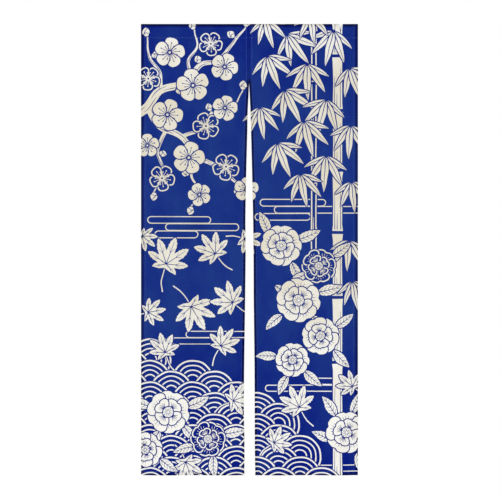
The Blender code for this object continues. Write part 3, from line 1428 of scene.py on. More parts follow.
def sides_of(triangles: Array) -> tuple[Array, Array]:
    """The triangles' directed sides, and which triangle each belongs to."""
    sides = np.concatenate([triangles[:, (0, 1)], triangles[:, (1, 2)], triangles[:, (2, 0)]])
    return sides, np.tile(np.arange(len(triangles)), 3)


@dataclass
class ClothCut:
    """One piece of flat cloth: which side it is of, and from where to where it runs down.

    Args:
        hang: How the cloths hang.
        side: Which cloth it is of.
        top: Where it starts, along the cloth.
        bottom: Where it ends.
        row_step: Distance between rows of points.
        column_step: Distance between columns of points.
    """

    hang: Hang
    side: Side
    top: float
    bottom: float
    row_step: float
    column_step: float

    # Points of the field keep this share of a step clear of the kept lines, and start each row
    # at one of these shares by turns.
    CLEAR = 0.28
    STAGGER = (0.25, 0.75)
    NEAR = 1e-9
    DIGITS = 7
    SAMPLES = 40

    def reach(self, down: Array) -> tuple[Array, Array]:
        """The cut's two raw edges, out from the middle, at these distances down."""
        inner = self.hang.slit_line(self.side, down) - self.hang.slit_hem.reach
        return inner, np.full_like(inner, self.hang.side_line + self.hang.side_hem.reach)

    def span(self, down: float) -> tuple[float, float]:
        """The same at one distance down."""
        inner, outer = self.reach(np.array([down]))
        return float(inner[0]), float(outer[0])

    def rows(self) -> Array:
        """Evenly spaced distances down."""
        count = max(2, math.ceil((self.bottom - self.top) / self.row_step))
        return np.linspace(self.top, self.bottom, count + 1)

    def levels(self) -> list[float]:
        """Finds the ends and the level folds.

        Returns:
            Their distances down, the first first.
        """
        hang, levels = self.hang, [self.top, self.bottom]
        levels += [hang.foot_line + past for past in hang.foot_hem.creases()]
        levels += [hang.pocket_line - past for past in hang.pocket_edge.creases()]
        inside = [v for v in levels if self.top - self.NEAR <= v <= self.bottom + self.NEAR]
        return sorted({round(v, self.DIGITS) for v in inside})

    def lines(self) -> list[Array]:
        """Lays lines of points that the triangulation keeps: raw edges, folds and ends.

        Returns:
            The lines, in metres.
        """
        hang, rows, sign = self.hang, self.rows(), self.side.value
        kept = []
        for past in hang.side_hem.creases():
            kept.append(np.stack([np.full_like(rows, sign * (hang.side_line + past)), rows], axis=1))
        for past in hang.slit_hem.creases():
            kept.append(np.stack([sign * (hang.slit_line(self.side, rows) - past), rows], axis=1))
        for level in self.levels():
            inner, outer = self.span(level)
            columns = np.linspace(inner, outer, math.ceil((outer - inner) / self.column_step) + 1)
            kept.append(np.stack([sign * columns, np.full_like(columns, level)], axis=1))
        return kept

    def field(self) -> Array:
        """Lays the even field of points between the edges, its rows staggered.

        Returns:
            The points, in metres.
        """
        points = []
        for i, down in enumerate(self.rows()[1:-1]):
            inner, outer = self.span(down)
            columns = np.arange(inner, outer, self.column_step) + self.column_step * self.STAGGER[i % 2]
            columns = columns[columns < outer]
            points.append(np.stack([self.side.value * columns, np.full_like(columns, down)], axis=1))
        return np.vstack(points)

    def holds(self, points: Array) -> Array:
        """Tests which points lie on the cut.

        Args:
            points: Places in millimetres.

        Returns:
            True for each that does.
        """
        outward, down = self.side.value * points[:, 0] * MM, points[:, 1] * MM
        inner, outer = self.reach(down)
        return (outward > inner) & (outward < outer) & (down > self.top) & (down < self.bottom)

    def print_outlines(self, shapes: Sequence[Shape]) -> tuple[Array, Array]:
        """Finds the lines where dyed and undyed cloth meet.

        Outlines that later shapes cover are dropped, and so are those between like inks.

        Args:
            shapes: The print here, the first painted first.

        Returns:
            Points in millimetres, and edges.
        """
        points, edges = [], []
        for shape in shapes:
            base, count = len(points), len(shape.outline)
            points += shape.outline.tolist()
            edges += [(base + i, base + (i + 1) % count) for i in range(count)]
        flat, triangles = triangulated(np.array(points), np.array(edges))
        resist = resist_at(flat[triangles].mean(axis=1), shapes)
        sides, owner = sides_of(triangles)
        order = np.lexsort(np.sort(sides, axis=1).T)
        sides, owner = np.sort(sides, axis=1)[order], owner[order]
        same = (sides[1:] == sides[:-1]).all(axis=1)
        kept = sides[np.nonzero(same & (resist[owner[1:]] != resist[owner[:-1]]))[0]]
        kept = kept[self.holds(flat[kept].mean(axis=1))]
        used, index = np.unique(kept, return_inverse=True)
        return flat[used], index.reshape(kept.shape)

    def near_shapes(self, shapes: Sequence[Shape]) -> list[Shape]:
        """Picks the shapes that reach the cut.

        Args:
            shapes: The whole print.

        Returns:
            Those shapes, in the same order.
        """
        inner = self.reach(np.linspace(self.top, self.bottom, self.SAMPLES))[0].min() / MM
        outer = (self.hang.side_line + self.hang.side_hem.reach) / MM
        found = []
        for shape in shapes:
            outward, down = self.side.value * shape.outline[:, 0], shape.outline[:, 1] * MM
            level = down.max() > self.top and down.min() < self.bottom
            if level and outward.max() > inner and outward.min() < outer:
                found.append(shape)
        return found

    def flat(self, shapes: Sequence[Shape]) -> tuple[Array, Array, Array]:
        """Triangulates the flat cloth along the print's outlines and its own folds.

        Args:
            shapes: The whole print.

        Returns:
            Points in metres, triangles, and which triangles are undyed.
        """
        shapes = self.near_shapes(shapes)
        outlines, edges = self.print_outlines(shapes)
        points, edges, count = [outlines], [edges], len(outlines)
        for line in self.lines():
            points.append(line / MM)
            index = np.arange(count, count + len(line))
            edges.append(np.stack([index[:-1], index[1:]], axis=1))
            count += len(line)
        fixed = np.vstack(points)
        tree = kdtree.KDTree(len(fixed))
        for i, (x, y) in enumerate(fixed.tolist()):
            tree.insert((x, y, 0), i)
        tree.balance()
        clear = self.CLEAR * min(self.row_step, self.column_step) / MM
        field = np.array([p for p in (self.field() / MM).tolist() if tree.find((*p, 0))[2] > clear])
        flat, triangles = triangulated(np.vstack([fixed, field]), np.vstack(edges))
        triangles = triangles[self.holds(flat[triangles].mean(axis=1))]
        resist = resist_at(flat[triangles].mean(axis=1), shapes)
        used, index = np.unique(triangles, return_inverse=True)
        return flat[used] * MM, index.reshape(triangles.shape), resist


def placed(name: str, data: bpy.types.ID) -> Object:
    """Puts an object in the scene.

    Args:
        name: Its name.
        data: Its mesh, light or camera.

    Returns:
        The object.
    """
    made = bpy.data.objects.new(name, data)
    bpy.context.scene.collection.objects.link(made)
    return made


class ClothMesh:
    """The meshes of one piece of cloth, gathered from its cuts."""

    INKS = 2
    LAYERS = ("points", "normals", "flat", "hem", "faces", "inks")

    def __init__(self, hang: Hang) -> None:
        """Starts with no cuts of a cloth that hangs so."""
        self.hang = hang
        self.parts: dict[str, list[Array]] = {layer: [] for layer in self.LAYERS}
        self.count = 0

    def add(self, cut: ClothCut, shapes: Sequence[Shape]) -> None:
        """Adds one cut: its printed face, its reverse and the raw edges between them.

        Args:
            cut: The cut.
            shapes: The whole print.
        """
        flat, triangles, resist = cut.flat(shapes)
        across, down = flat.T
        face = self.hang.place(cut.side, across, down)
        normal = self.hang.normals(self.hang.place, cut.side, across, down)
        reverse = face - normal * self.hang.thickness
        front = triangles[:, ::-1]
        sides, owner = sides_of(front)
        keys = {tuple(s) for s in sides.tolist()}
        inks = resist[owner].astype(int).tolist()
        rim = [(a, b, ink) for (a, b), ink in zip(sides.tolist(), inks) if (b, a) not in keys]
        n = len(flat)
        edges = [(b, a, a + n) for a, b, _ in rim] + [(b, a + n, b + n) for a, b, _ in rim]
        faces = np.vstack([front, triangles + n, np.array(edges)]) + self.count
        rim_inks = np.array([ink + self.INKS for _, _, ink in rim] * 2)
        self.parts["points"] += [face, reverse]
        self.parts["normals"] += [normal, -normal]
        self.parts["flat"] += [np.column_stack([flat, np.zeros(n)])] * 2
        self.parts["hem"] += [self.hang.hem_share(cut.side, across, down)] * 2
        self.parts["faces"].append(faces)
        self.parts["inks"] += [resist.astype(int), resist.astype(int) + self.INKS, rim_inks]
        self.count += 2 * n

    def build(self, name: str, materials: Sequence[Material]) -> Object:
        """Makes the object, shaded by the surface that its points were taken from.

        Args:
            name: Its name.
            materials: For dyed and undyed cloth, on the face and then on the reverse.

        Returns:
            The object.
        """
        parts = {k: np.concatenate(v) for k, v in self.parts.items()}
        mesh = bpy.data.meshes.new(name)
        mesh.from_pydata(parts["points"].tolist(), [], parts["faces"].tolist())
        for material in materials:
            mesh.materials.append(material)
        mesh.polygons.foreach_set("material_index", parts["inks"].astype(np.int32))
        flat = mesh.attributes.new("flat_m", "FLOAT_VECTOR", "POINT")
        flat.data.foreach_set("vector", parts["flat"].astype(np.float32).ravel())
        hem = mesh.attributes.new("hem_share", "FLOAT", "POINT")
        hem.data.foreach_set("value", parts["hem"].astype(np.float32))
        mesh.shade_smooth()
        mesh.normals_split_custom_set_from_vertices(parts["normals"].tolist())
        return placed(name, mesh)


@dataclass
class Stitching:
    """Lines of lockstitch on both faces of the cloth, as short lengths of thread.

    Args:
        hang: How the cloths hang.
        pitch: From one stitch to the next.
        length: How long each shows.
        thread: The thread's radius.
        lift: How high its middle lies on the cloth.
    """

    hang: Hang
    pitch: float = 3.2 * MM
    length: float = 2.5 * MM
    thread: float = 0.34 * MM
    lift: float = 0.10 * MM

    SIDES = 5
    # Each ring of points: share of the length along, share of the radius, radii above the middle.
    RINGS = ((-0.5, 0.0, -1.0), (-0.36, 0.85, 0.2), (0.36, 0.85, 0.2), (0.5, 0.0, -1.0))
    THINNEST = 0.12
    # How far ahead and behind the cloth is felt for the stitch's way, as a share of its length.
    FEELER = 0.4

    def __post_init__(self) -> None:
        """Starts with no thread."""
        self.points: list[Array] = []
        self.faces: list[Array] = []
        self.count = 0

    def sew(self, side: Side, line: Array) -> None:
        """Sews along a line of the flat cloth.

        Args:
            side: Which cloth it is on.
            line: Places across and down the flat cloth, in order.
        """
        run = np.concatenate([[0], np.cumsum(np.linalg.norm(np.diff(line, axis=0), axis=1))])
        at = np.arange(self.pitch / 2, run[-1], self.pitch)
        step = self.FEELER * self.length
        here, ahead, behind = (
            [np.interp(at + shift, run, line[:, i]) for i in (0, 1)] for shift in (0, step, -step)
        )
        up = self.hang.normals(self.hang.place, side, *here)
        along = self.hang.place(side, *ahead) - self.hang.place(side, *behind)
        along /= np.linalg.norm(along, axis=1)[:, None]
        middle = self.hang.place(side, *here) + up * self.lift
        self.add_thread(middle, along, up)

    def add_thread(self, middle: Array, along: Array, up: Array) -> None:
        """Adds a short length of thread at each place, its two ends sunk in the cloth.

        Args:
            middle: The places.
            along: The way that each thread runs.
            up: The way out of the cloth at each.
        """
        aside = np.cross(up, along)
        turn = 2 * np.pi * np.arange(self.SIDES) / self.SIDES
        spokes = np.cos(turn)[None, :, None] * aside[:, None] + np.sin(turn)[None, :, None] * up[:, None]
        rings = []
        for place, swell, rise in self.RINGS:
            centre = middle + along * place * self.length + up * rise * self.thread
            rings.append(centre[:, None] + max(swell, self.THINNEST) * self.thread * spokes)
        points = np.stack(rings, axis=1).reshape(-1, 3)
        per = len(self.RINGS) * self.SIDES
        faces = []
        for ring in range(len(self.RINGS) - 1):
            for k in range(self.SIDES):
                a, b = ring * self.SIDES + k, ring * self.SIDES + (k + 1) % self.SIDES
                faces += [(a, b, b + self.SIDES), (a, b + self.SIDES, a + self.SIDES)]
        for k in range(1, self.SIDES - 1):
            faces += [(0, k + 1, k), (per - self.SIDES, per - self.SIDES + k, per - self.SIDES + k + 1)]
        base = self.count + per * np.arange(len(middle))
        self.points.append(points)
        self.faces.append((np.array(faces)[None] + base[:, None, None]).reshape(-1, 3))
        self.count += len(points)

    def build(self, name: str, material: Material) -> Object:
        """Makes all the thread one object.

        Args:
            name: Its name.
            material: The thread's finish.

        Returns:
            The object.
        """
        mesh = bpy.data.meshes.new(name)
        mesh.from_pydata(np.concatenate(self.points).tolist(), [], np.concatenate(self.faces).tolist())
        mesh.materials.append(material)
        mesh.shade_smooth()
        return placed(name, mesh)


def linear(code: str) -> tuple[float, float, float, float]:
    """Turns an sRGB hex value to linear light, by the standard's own curve.

    Args:
        code: The value, such as "#FFFFFF".

    Returns:
        Red, green, blue and 1.
    """
    parts = [int(code[i : i + 2], 16) / 255 for i in (1, 3, 5)]
    r, g, b = (c / 12.92 if c <= 0.04045 else ((c + 0.055) / 1.055) ** 2.4 for c in parts)
    return r, g, b, 1.0


def add_node(tree: NodeTree, kind: str, settings: dict | None = None, links: dict | None = None) -> Node:
    """Adds a node.

    Args:
        tree: The tree that it goes in.
        kind: Its type, as Blender names it after ShaderNode.
        settings: Values for its properties or, by name or number, its inputs.
        links: Sockets that feed its inputs, by name or number.

    Returns:
        The node.
    """
    made = tree.nodes.new(f"ShaderNode{kind}")
    for key, value in (settings or {}).items():
        if isinstance(key, str) and hasattr(made, key):
            setattr(made, key, value)
        else:
            made.inputs[key].default_value = value
    for key, socket in (links or {}).items():
        tree.links.new(socket, made.inputs[key])
    return made


def new_material(name: str, settings: dict) -> tuple[Material, NodeTree, Node]:
    """Starts a node material.

    Args:
        name: Its name.
        settings: Values for its shader's own sockets.

    Returns:
        The material, its tree and its shader.
    """
    made = bpy.data.materials.new(name)
    made.use_nodes = True
    shader = made.node_tree.nodes["Principled BSDF"]
    for socket, value in settings.items():
        shader.inputs[socket].default_value = value
    return made, made.node_tree, shader


@dataclass(frozen=True)
class WovenCloth:
    """Plain-woven cotton, printed by resist: dull, with a faint weave and thick threads.

    The dye takes unevenly, so the blue is deeper near the top and towards the foot. Towards
    an edge the cloth is darker, partly for the doubled hem and partly as painted shade of the
    folds and the pocket's round top, with a painted highlight on the ridge beside a hem's
    stitches. Undyed cloth is a warm white, whiter towards the foot. The reverse takes less dye,
    so it is paler.

    Args:
        name: The material's name.
        colour: Its main colour.
        deep: The colour where it took more dye, or is less clean.
        slub: How strongly thick threads show.
        hem_tone_and_shade: How much darker an edge is, partly for the doubled hem and partly as painted shade
            of the fold.
        ridge_highlight: How bright the painted highlight on the ridge beside a line of stitches is.
        depths: The share of the deep colour at each distance down the cloth, in metres.
        sheen: Strength of the fibres' sheen.
    """

    name: str
    colour: str
    deep: str
    slub: float = 0.07
    hem_tone_and_shade: float = 0.78
    ridge_highlight: float = 1.20
    depths: tuple = (
        (0.0, 0.60), (0.16, 0.54), (0.28, 0.32), (0.45, 0.20), (1.10, 0.22), (1.34, 0.55), (1.62, 0.82),
    )
    sheen: float = 0.03

    # Matt fibres: hardly a highlight, and a broad soft sheen.
    ROUGHNESS = 0.88
    SPECULAR = 0.06
    SHEEN_ROUGHNESS = 0.5
    # How dark each place in from an edge is, as a share of the edge's full darkening (the doubled hem and
    # painted shade of the fold), and where the painted highlight on the ridge lies.
    EDGE_SHARES = ((0.0, 1.0), (0.30, 0.74), (0.60, 0.38), (0.86, 0.12))
    RIDGE = 0.93
    # The real pair of threads is 0.9 mm, too fine for the render, so it is drawn at this size.
    SHOWN_PAIR_MM = 2.6
    WEAVE = 0.03
    # A thick thread's breadth and length.
    SLUB_MM = (1.6, 34.0)
    SLUB_DETAIL = 1.0
    SLUB_RANGE = (0.7, 1.3)
    # Patches of uneven dye, and how much of the deep colour they add or take.
    PATCH_MM = (85.0, 136.0)
    PATCH_DETAIL = 3.0
    PATCH_RANGE = (0.35, 0.65)
    PATCH_SHARE = 0.20
    # An edge this dark, its darkening partly painted shade, also takes this much more of the deep colour.
    HEM_AND_SHADE_TONE = 0.22
    HEM_AND_SHADE_SHARE = 0.5
    # Distance down for depths, a little of the distance across added, and the ramp's length.
    DEEPENS = (0.05, 1.0, 0.0)
    LONGEST = 2.0
    # The thick threads' height beside the weave's, and the whole relief's strength and height.
    SLUB_RELIEF = 0.6
    RELIEF = 0.35
    RELIEF_HEIGHT = 0.25 * MM

    def material(self) -> Material:
        """Makes the node material.

        Returns:
            The material.
        """
        made, tree, shader = new_material(self.name, {
            "Roughness": self.ROUGHNESS, "Specular IOR Level": self.SPECULAR,
            "Sheen Weight": self.sheen, "Sheen Roughness": self.SHEEN_ROUGHNESS,
        })
        flat = add_node(tree, "Attribute", {"attribute_name": "flat_m"}).outputs["Vector"]
        hem = add_node(tree, "Attribute", {"attribute_name": "hem_share"}).outputs["Fac"]
        # The hem ramp darkens the cloth towards its edges, partly for the doubled hem and partly as painted
        # shade of folds and the pocket's round top. Its ridge stop is a painted highlight beside hem
        # stitches; pressed carries this tone.
        edges = add_node(tree, "ValToRGB", links={0: hem})
        self.set_tones(edges.color_ramp, self.hem_tone_shade_and_highlight())
        pressed = edges.outputs["Color"]
        slubs, weave = self.threads(tree, flat)
        colours = {"data_type": "RGBA", 6: linear(self.colour), 7: linear(self.deep)}
        dyed = add_node(tree, "Mix", colours, {0: self.deep_share(tree, flat, pressed)})
        scaled = {0: dyed.outputs[2], "Scale": self.tone(tree, slubs, weave, pressed)}
        colour = add_node(tree, "VectorMath", {"operation": "SCALE"}, scaled)
        relief = add_node(tree, "Math", {"operation": "MULTIPLY_ADD", 1: self.SLUB_RELIEF},
                          {0: slubs, 2: weave})
        bump = add_node(tree, "Bump", {"Strength": self.RELIEF, "Distance": self.RELIEF_HEIGHT},
                        {"Height": relief.outputs[0]})
        tree.links.new(colour.outputs[0], shader.inputs["Base Color"])
        tree.links.new(bump.outputs[0], shader.inputs["Normal"])
        return made

    def patches(self, tree: NodeTree, flat: NodeSocket, size_mm: tuple, detail: float) -> NodeSocket:
        """Draws soft random patches.

        Args:
            tree: The material's tree.
            flat: Places on the flat cloth.
            size_mm: The patches' size across and down.
            detail: How much finer detail they have.

        Returns:
            How much of a patch each place has.
        """
        scale = (1000 / size_mm[0], 1000 / size_mm[1], 1.0)
        spread = add_node(tree, "VectorMath", {"operation": "MULTIPLY", 1: scale}, {0: flat})
        grain = {"noise_dimensions": "2D", "Scale": 1.0, "Detail": detail}
        made = add_node(tree, "TexNoise", grain, {"Vector": spread.outputs["Vector"]})
        return made.outputs["Fac"]

    def threads(self, tree: NodeTree, flat: NodeSocket) -> tuple[NodeSocket, NodeSocket]:
        """Draws thick threads along the warp and the weft, and the plain weave.

        Args:
            tree: The material's tree.
            flat: Places on the flat cloth.

        Returns:
            How thick the threads are, and the weave's height from -1 to 1.
        """
        warp = self.patches(tree, flat, self.SLUB_MM, self.SLUB_DETAIL)
        weft = self.patches(tree, flat, self.SLUB_MM[::-1], self.SLUB_DETAIL)
        slubs = add_node(tree, "Math", {"operation": "ADD"}, {0: warp, 1: weft})
        pair = 2 * math.pi * 1000 / self.SHOWN_PAIR_MM
        scale = {"operation": "MULTIPLY", 1: (pair, pair, 0)}
        turns = add_node(tree, "VectorMath", scale, {0: flat})
        waves = add_node(tree, "VectorMath", {"operation": "SINE"}, {0: turns.outputs[0]})
        split = add_node(tree, "SeparateXYZ", links={0: waves.outputs[0]}).outputs
        weave = add_node(tree, "Math", {"operation": "MULTIPLY"}, {0: split[0], 1: split[1]})
        return slubs.outputs[0], weave.outputs[0]

    def deep_share(self, tree: NodeTree, flat: NodeSocket, pressed: NodeSocket) -> NodeSocket:
        """Works out how much of the deep colour each place has.

        Args:
            tree: The material's tree.
            flat: Places on the flat cloth.
            pressed: The tone towards edges: the doubled hem's darkening, painted shade of folds and a painted
                highlight beside stitches.

        Returns:
            The share, by the distance down, in patches, and more towards edges, where the doubled hem and
            painted shade darken the cloth.
        """
        slope = {"operation": "DOT_PRODUCT", 1: self.DEEPENS}
        down = add_node(tree, "VectorMath", slope, {0: flat}).outputs["Value"]
        part = add_node(tree, "MapRange", {"From Max": self.LONGEST}, {"Value": down})
        depths = add_node(tree, "ValToRGB", links={0: part.outputs[0]})
        self.set_tones(depths.color_ramp, [(place / self.LONGEST, share) for place, share in self.depths])
        (low, high), by = self.PATCH_RANGE, self.PATCH_SHARE
        ends = {"From Min": low, "From Max": high, "To Min": -by, "To Max": by}
        patches = {"Value": self.patches(tree, flat, self.PATCH_MM, self.PATCH_DETAIL)}
        uneven = add_node(tree, "MapRange", ends, patches).outputs[0]
        share = add_node(tree, "Math", {"operation": "ADD"}, {0: depths.outputs[0], 1: uneven})
        ends = {"From Min": self.HEM_AND_SHADE_TONE, "To Min": self.HEM_AND_SHADE_SHARE, "To Max": 0.0}
        more = add_node(tree, "MapRange", ends, {"Value": pressed}).outputs[0]
        both = {0: share.outputs[0], 1: more}
        return add_node(tree, "Math", {"operation": "ADD", "use_clamp": True}, both).outputs[0]

    def tone(self, tree: NodeTree, slubs: NodeSocket, weave: NodeSocket, pressed: NodeSocket) -> NodeSocket:
        """Works out how light each place is.

        Args:
            tree: The material's tree.
            slubs: How thick the threads are.
            weave: The weave's height.
            pressed: The tone towards edges: the doubled hem's darkening, painted shade of folds and a painted
                highlight beside stitches.

        Returns:
            The three tones, multiplied.
        """
        tone = pressed
        for value, (low, high), by in ((slubs, self.SLUB_RANGE, self.slub), (weave, (-1, 1), self.WEAVE)):
            ends = {"From Min": low, "From Max": high, "To Min": 1 - by, "To Max": 1 + by}
            part = add_node(tree, "MapRange", ends, {"Value": value}).outputs[0]
            tone = add_node(tree, "Math", {"operation": "MULTIPLY"}, {0: tone, 1: part}).outputs[0]
        return tone

    def hem_tone_shade_and_highlight(self) -> list[tuple[float, float]]:
        """Darker towards an edge, partly for the doubled hem and partly as painted shade of the fold, and a
        painted highlight on the ridge beside a hem's stitches.
        """
        eased = [(place, 1 - part * self.hem_tone_and_shade) for place, part in self.EDGE_SHARES]
        # The ridge's stop is a painted highlight beside a hem's stitches.
        return [*eased, (self.RIDGE, self.ridge_highlight), (1.0, 1.0)]

    def set_tones(self, ramp: ColorRamp, stops: list[tuple[float, float]]) -> None:
        """Fills a ramp.

        Args:
            ramp: The ramp.
            stops: Places and grey tones.
        """
        while len(ramp.elements) < len(stops):
            ramp.elements.new(0.5)
        for element, (place, tone) in zip(ramp.elements, stops):
            element.position = place
            element.color = (tone, tone, tone, 1)


@dataclass(frozen=True)
class SewingThread:
    """Spun cotton thread: a slightly glossy twist, a shade lighter than the dyed ground.

    Args:
        name: The material's name.
        colour: The colour on the crown of the twist, lighter as its painted highlight.
        dark: The colour between its strands, darker as their painted shade.
    """

    name: str = "spun_cotton_thread"
    colour: str = "#6C83BE"
    dark: str = "#4A62A4"

    ROUGHNESS = 0.55
    # The real twist, 0.5 mm, is too fine for the render, so its tone changes from stitch to stitch.
    SHOWN_TWIST_MM = 6.283
    # How far a slanting wave of scale 1 turns in a metre, in radians.
    WAVE_TURN = 10.0
    RELIEF = 0.5
    RELIEF_HEIGHT = 0.08 * MM

    def material(self) -> Material:
        """Makes the node material, its colour and relief following the twist.

        Returns:
            The material.
        """
        made, tree, shader = new_material(self.name, {"Roughness": self.ROUGHNESS})
        place = add_node(tree, "TexCoord").outputs["Object"]
        scale = 2 * math.pi * 1000 / self.SHOWN_TWIST_MM / self.WAVE_TURN
        bands = {"Scale": scale, "Distortion": 1.0, "bands_direction": "DIAGONAL"}
        twist = add_node(tree, "TexWave", bands, {"Vector": place}).outputs["Fac"]
        # The twist's bands paint its light and shade: the lighter colour on the crowns, the darker between
        # strands.
        colours = {"data_type": "RGBA", 6: linear(self.dark), 7: linear(self.colour)}
        mixed = add_node(tree, "Mix", colours, {0: twist})
        bump = add_node(tree, "Bump", {"Strength": self.RELIEF, "Distance": self.RELIEF_HEIGHT},
                        {"Height": twist})
        tree.links.new(mixed.outputs[2], shader.inputs["Base Color"])
        tree.links.new(bump.outputs[0], shader.inputs["Normal"])
        return made


@dataclass
class Noren:
    """The whole curtain: its cloth pieces, then its stitches.

    Args:
        panel_grid: The panels' distances between rows and between columns of points.
        pocket_grid: The pocket's.
        undyed_depths: The share of the less clean colour down the undyed cloth.
    """

    panel_grid: tuple = (8.0 * MM, 9.0 * MM)
    pocket_grid: tuple = (2.0 * MM, 9.0 * MM)
    undyed_depths: tuple = (
        (0.0, 0.25), (0.12, 0.45), (0.30, 0.92), (0.70, 0.88),
        (0.95, 0.75), (1.15, 0.50), (1.35, 0.18), (1.80, 0.0),
    )

    # Points along a stitch line: across a cloth, down a panel and round the pocket.
    ACROSS_POINTS = 50
    PANEL_POINTS = 400
    POCKET_POINTS = 80

    def __post_init__(self) -> None:
        """Sets out how the cloth hangs, its print and its finishes."""
        self.hang = Hang()
        self.shapes = Print().shapes()
        undyed = {"slub": 0.035, "hem_tone_and_shade": 0.10, "ridge_highlight": 1.0, "depths": self.undyed_depths}
        self.cloth = [
            WovenCloth("cotton_dyed_face", "#183278", "#001571").material(),
            WovenCloth("cotton_undyed_face", "#E1E0DA", "#CEC8B6", **undyed).material(),
            WovenCloth("cotton_dyed_reverse", "#3A5199", "#2C4389", sheen=0.06).material(),
            WovenCloth("cotton_undyed_reverse", "#D6D5D0", "#C9CACB", **undyed).material(),
        ]
        self.thread = SewingThread().material()

    def finish_piece(self, piece: Object) -> Object:
        """Makes a piece ride with the curtain, and logs its triangles.

        Args:
            piece: The piece.

        Returns:
            The same piece.
        """
        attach(piece, "root")
        LOG.info("%s: %d triangles", piece.name, len(piece.data.polygons))
        return piece

    def panel(self, side: Side) -> Object:
        """Makes one hanging cloth below the pocket, with its stitches.

        Args:
            side: Which cloth.

        Returns:
            The cloth.
        """
        hang, name = self.hang, side.name.lower()
        mesh = ClothMesh(hang)
        bottom = hang.foot_line + hang.foot_hem.reach
        mesh.add(ClothCut(hang, side, hang.foot, bottom, *self.panel_grid), self.shapes)
        cloth = self.finish_piece(mesh.build(f"{name}_cloth", self.cloth))
        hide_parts(f"panel_{name}")
        slit = float(hang.slit_line(side, np.array([hang.foot]))[0])
        width = hang.side_line + hang.side_hem.reach - slit + hang.slit_hem.reach
        self.panel_stitches(side)
        return cloth

    def pocket(self) -> Object:
        """Makes the rod pocket, across both cloths, with its stitches.

        Returns:
            The pocket.
        """
        hang = self.hang
        mesh = ClothMesh(hang)
        top = hang.pocket_line - hang.pocket_edge.reach
        for side in Side:
            mesh.add(ClothCut(hang, side, top, hang.foot, *self.pocket_grid), self.shapes)
        cloth = self.finish_piece(mesh.build("pocket_cloth", self.cloth))
        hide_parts("rod_pocket")
        width = 2 * (hang.side_line + hang.side_hem.reach + hang.slit_hem.reach)
        self.pocket_stitches()
        return cloth

    def down_lines(self, side: Side, downs: Array) -> list[Array]:
        """Lays the side and slit hems' stitch lines, on the face and on the reverse.

        Args:
            side: Which cloth.
            downs: Distances down at which they have points.

        Returns:
            The lines.
        """
        hang, sign = self.hang, side.value
        slit = hang.slit_line(side, downs)
        fold_side, fold_slit = math.pi * hang.side_hem.radius, math.pi * hang.slit_hem.radius
        outward = (
            np.full_like(downs, hang.side_line - hang.side_hem.stitch),
            np.full_like(downs, hang.side_line + fold_side + hang.side_hem.stitch),
            slit + hang.slit_hem.stitch,
            slit - fold_slit - hang.slit_hem.stitch,
        )
        return [np.stack([sign * out, downs], axis=1) for out in outward]

    def level_lines(self, side: Side, downs: Sequence[float]) -> list[Array]:
        """Lays stitch lines across one cloth, from its slit hem to its side hem.

        Args:
            side: Which cloth.
            downs: Each line's distance down.

        Returns:
            The lines.
        """
        hang = self.hang
        inner = float(hang.slit_line(side, np.array([downs[0]]))[0])
        across = side.value * np.linspace(inner + MM, hang.side_line - MM, self.ACROSS_POINTS)
        return [np.stack([across, np.full_like(across, down)], axis=1) for down in downs]

    def panel_stitches(self, side: Side) -> Object:
        """Sews one panel's side, slit and bottom hems.

        Args:
            side: Which panel.

        Returns:
            The stitches.
        """
        hang, stitching, hem = self.hang, Stitching(self.hang), self.hang.foot_hem
        lines = self.down_lines(side, np.linspace(hang.foot, hang.foot_line, self.PANEL_POINTS))
        reverse = hang.foot_line + math.pi * hem.radius + hem.stitch
        lines += self.level_lines(side, (hang.foot_line - hem.stitch, reverse))
        for line in lines:
            stitching.sew(side, line)
        return self.finish_piece(stitching.build(f"{side.name.lower()}_stitches", self.thread))

    def pocket_stitches(self) -> Object:
        """Sews the pocket's long line, and the hems' lines where they go round the pocket.

        Returns:
            The stitches.
        """
        hang, stitching = self.hang, Stitching(self.hang)
        back = hang.pocket_line + hang.past_stitch
        for side in Side:
            lines = self.level_lines(side, (hang.foot - MM, back + MM))
            lines += self.down_lines(side, np.linspace(hang.pocket_line, hang.foot, self.POCKET_POINTS))
            for line in lines:
                stitching.sew(side, line)
        return self.finish_piece(stitching.build("pocket_stitches", self.thread))

    def build(self) -> None:
        """Makes the pieces in the order in which they hang from each other."""
        self.pocket()
        for side in Side:
            self.panel(side)


@dataclass(frozen=True)
class FloorPaint:
    """Matt pale floor paint that glows a little and fades out from fade's first radius to its last."""

    colour: str = "#F6F6F4"
    glow: float = 0.22
    roughness: float = 0.9
    fade: tuple = (0.9, 2.6)

    def material(self) -> Material:
        """Makes the node material.

        Returns:
            The material.
        """
        made, tree, shader = new_material("matt_floor_paint", {
            "Base Color": linear(self.colour), "Roughness": self.roughness,
            "Emission Color": linear("#FFFFFF"), "Emission Strength": self.glow,
        })
        place = add_node(tree, "TexCoord").outputs["Object"]
        far = add_node(tree, "VectorMath", {"operation": "LENGTH"}, {0: place}).outputs["Value"]
        near, gone = self.fade
        eased = {"interpolation_type": "SMOOTHSTEP", "From Min": near, "From Max": gone}
        fade = add_node(tree, "MapRange", eased, {"Value": far})
        clear = add_node(tree, "BsdfTransparent")
        mix = add_node(tree, "MixShader",
                       links={0: fade.outputs[0], 1: shader.outputs[0], 2: clear.outputs[0]})
        tree.links.new(mix.outputs[0], tree.nodes["Material Output"].inputs["Surface"])
        return made


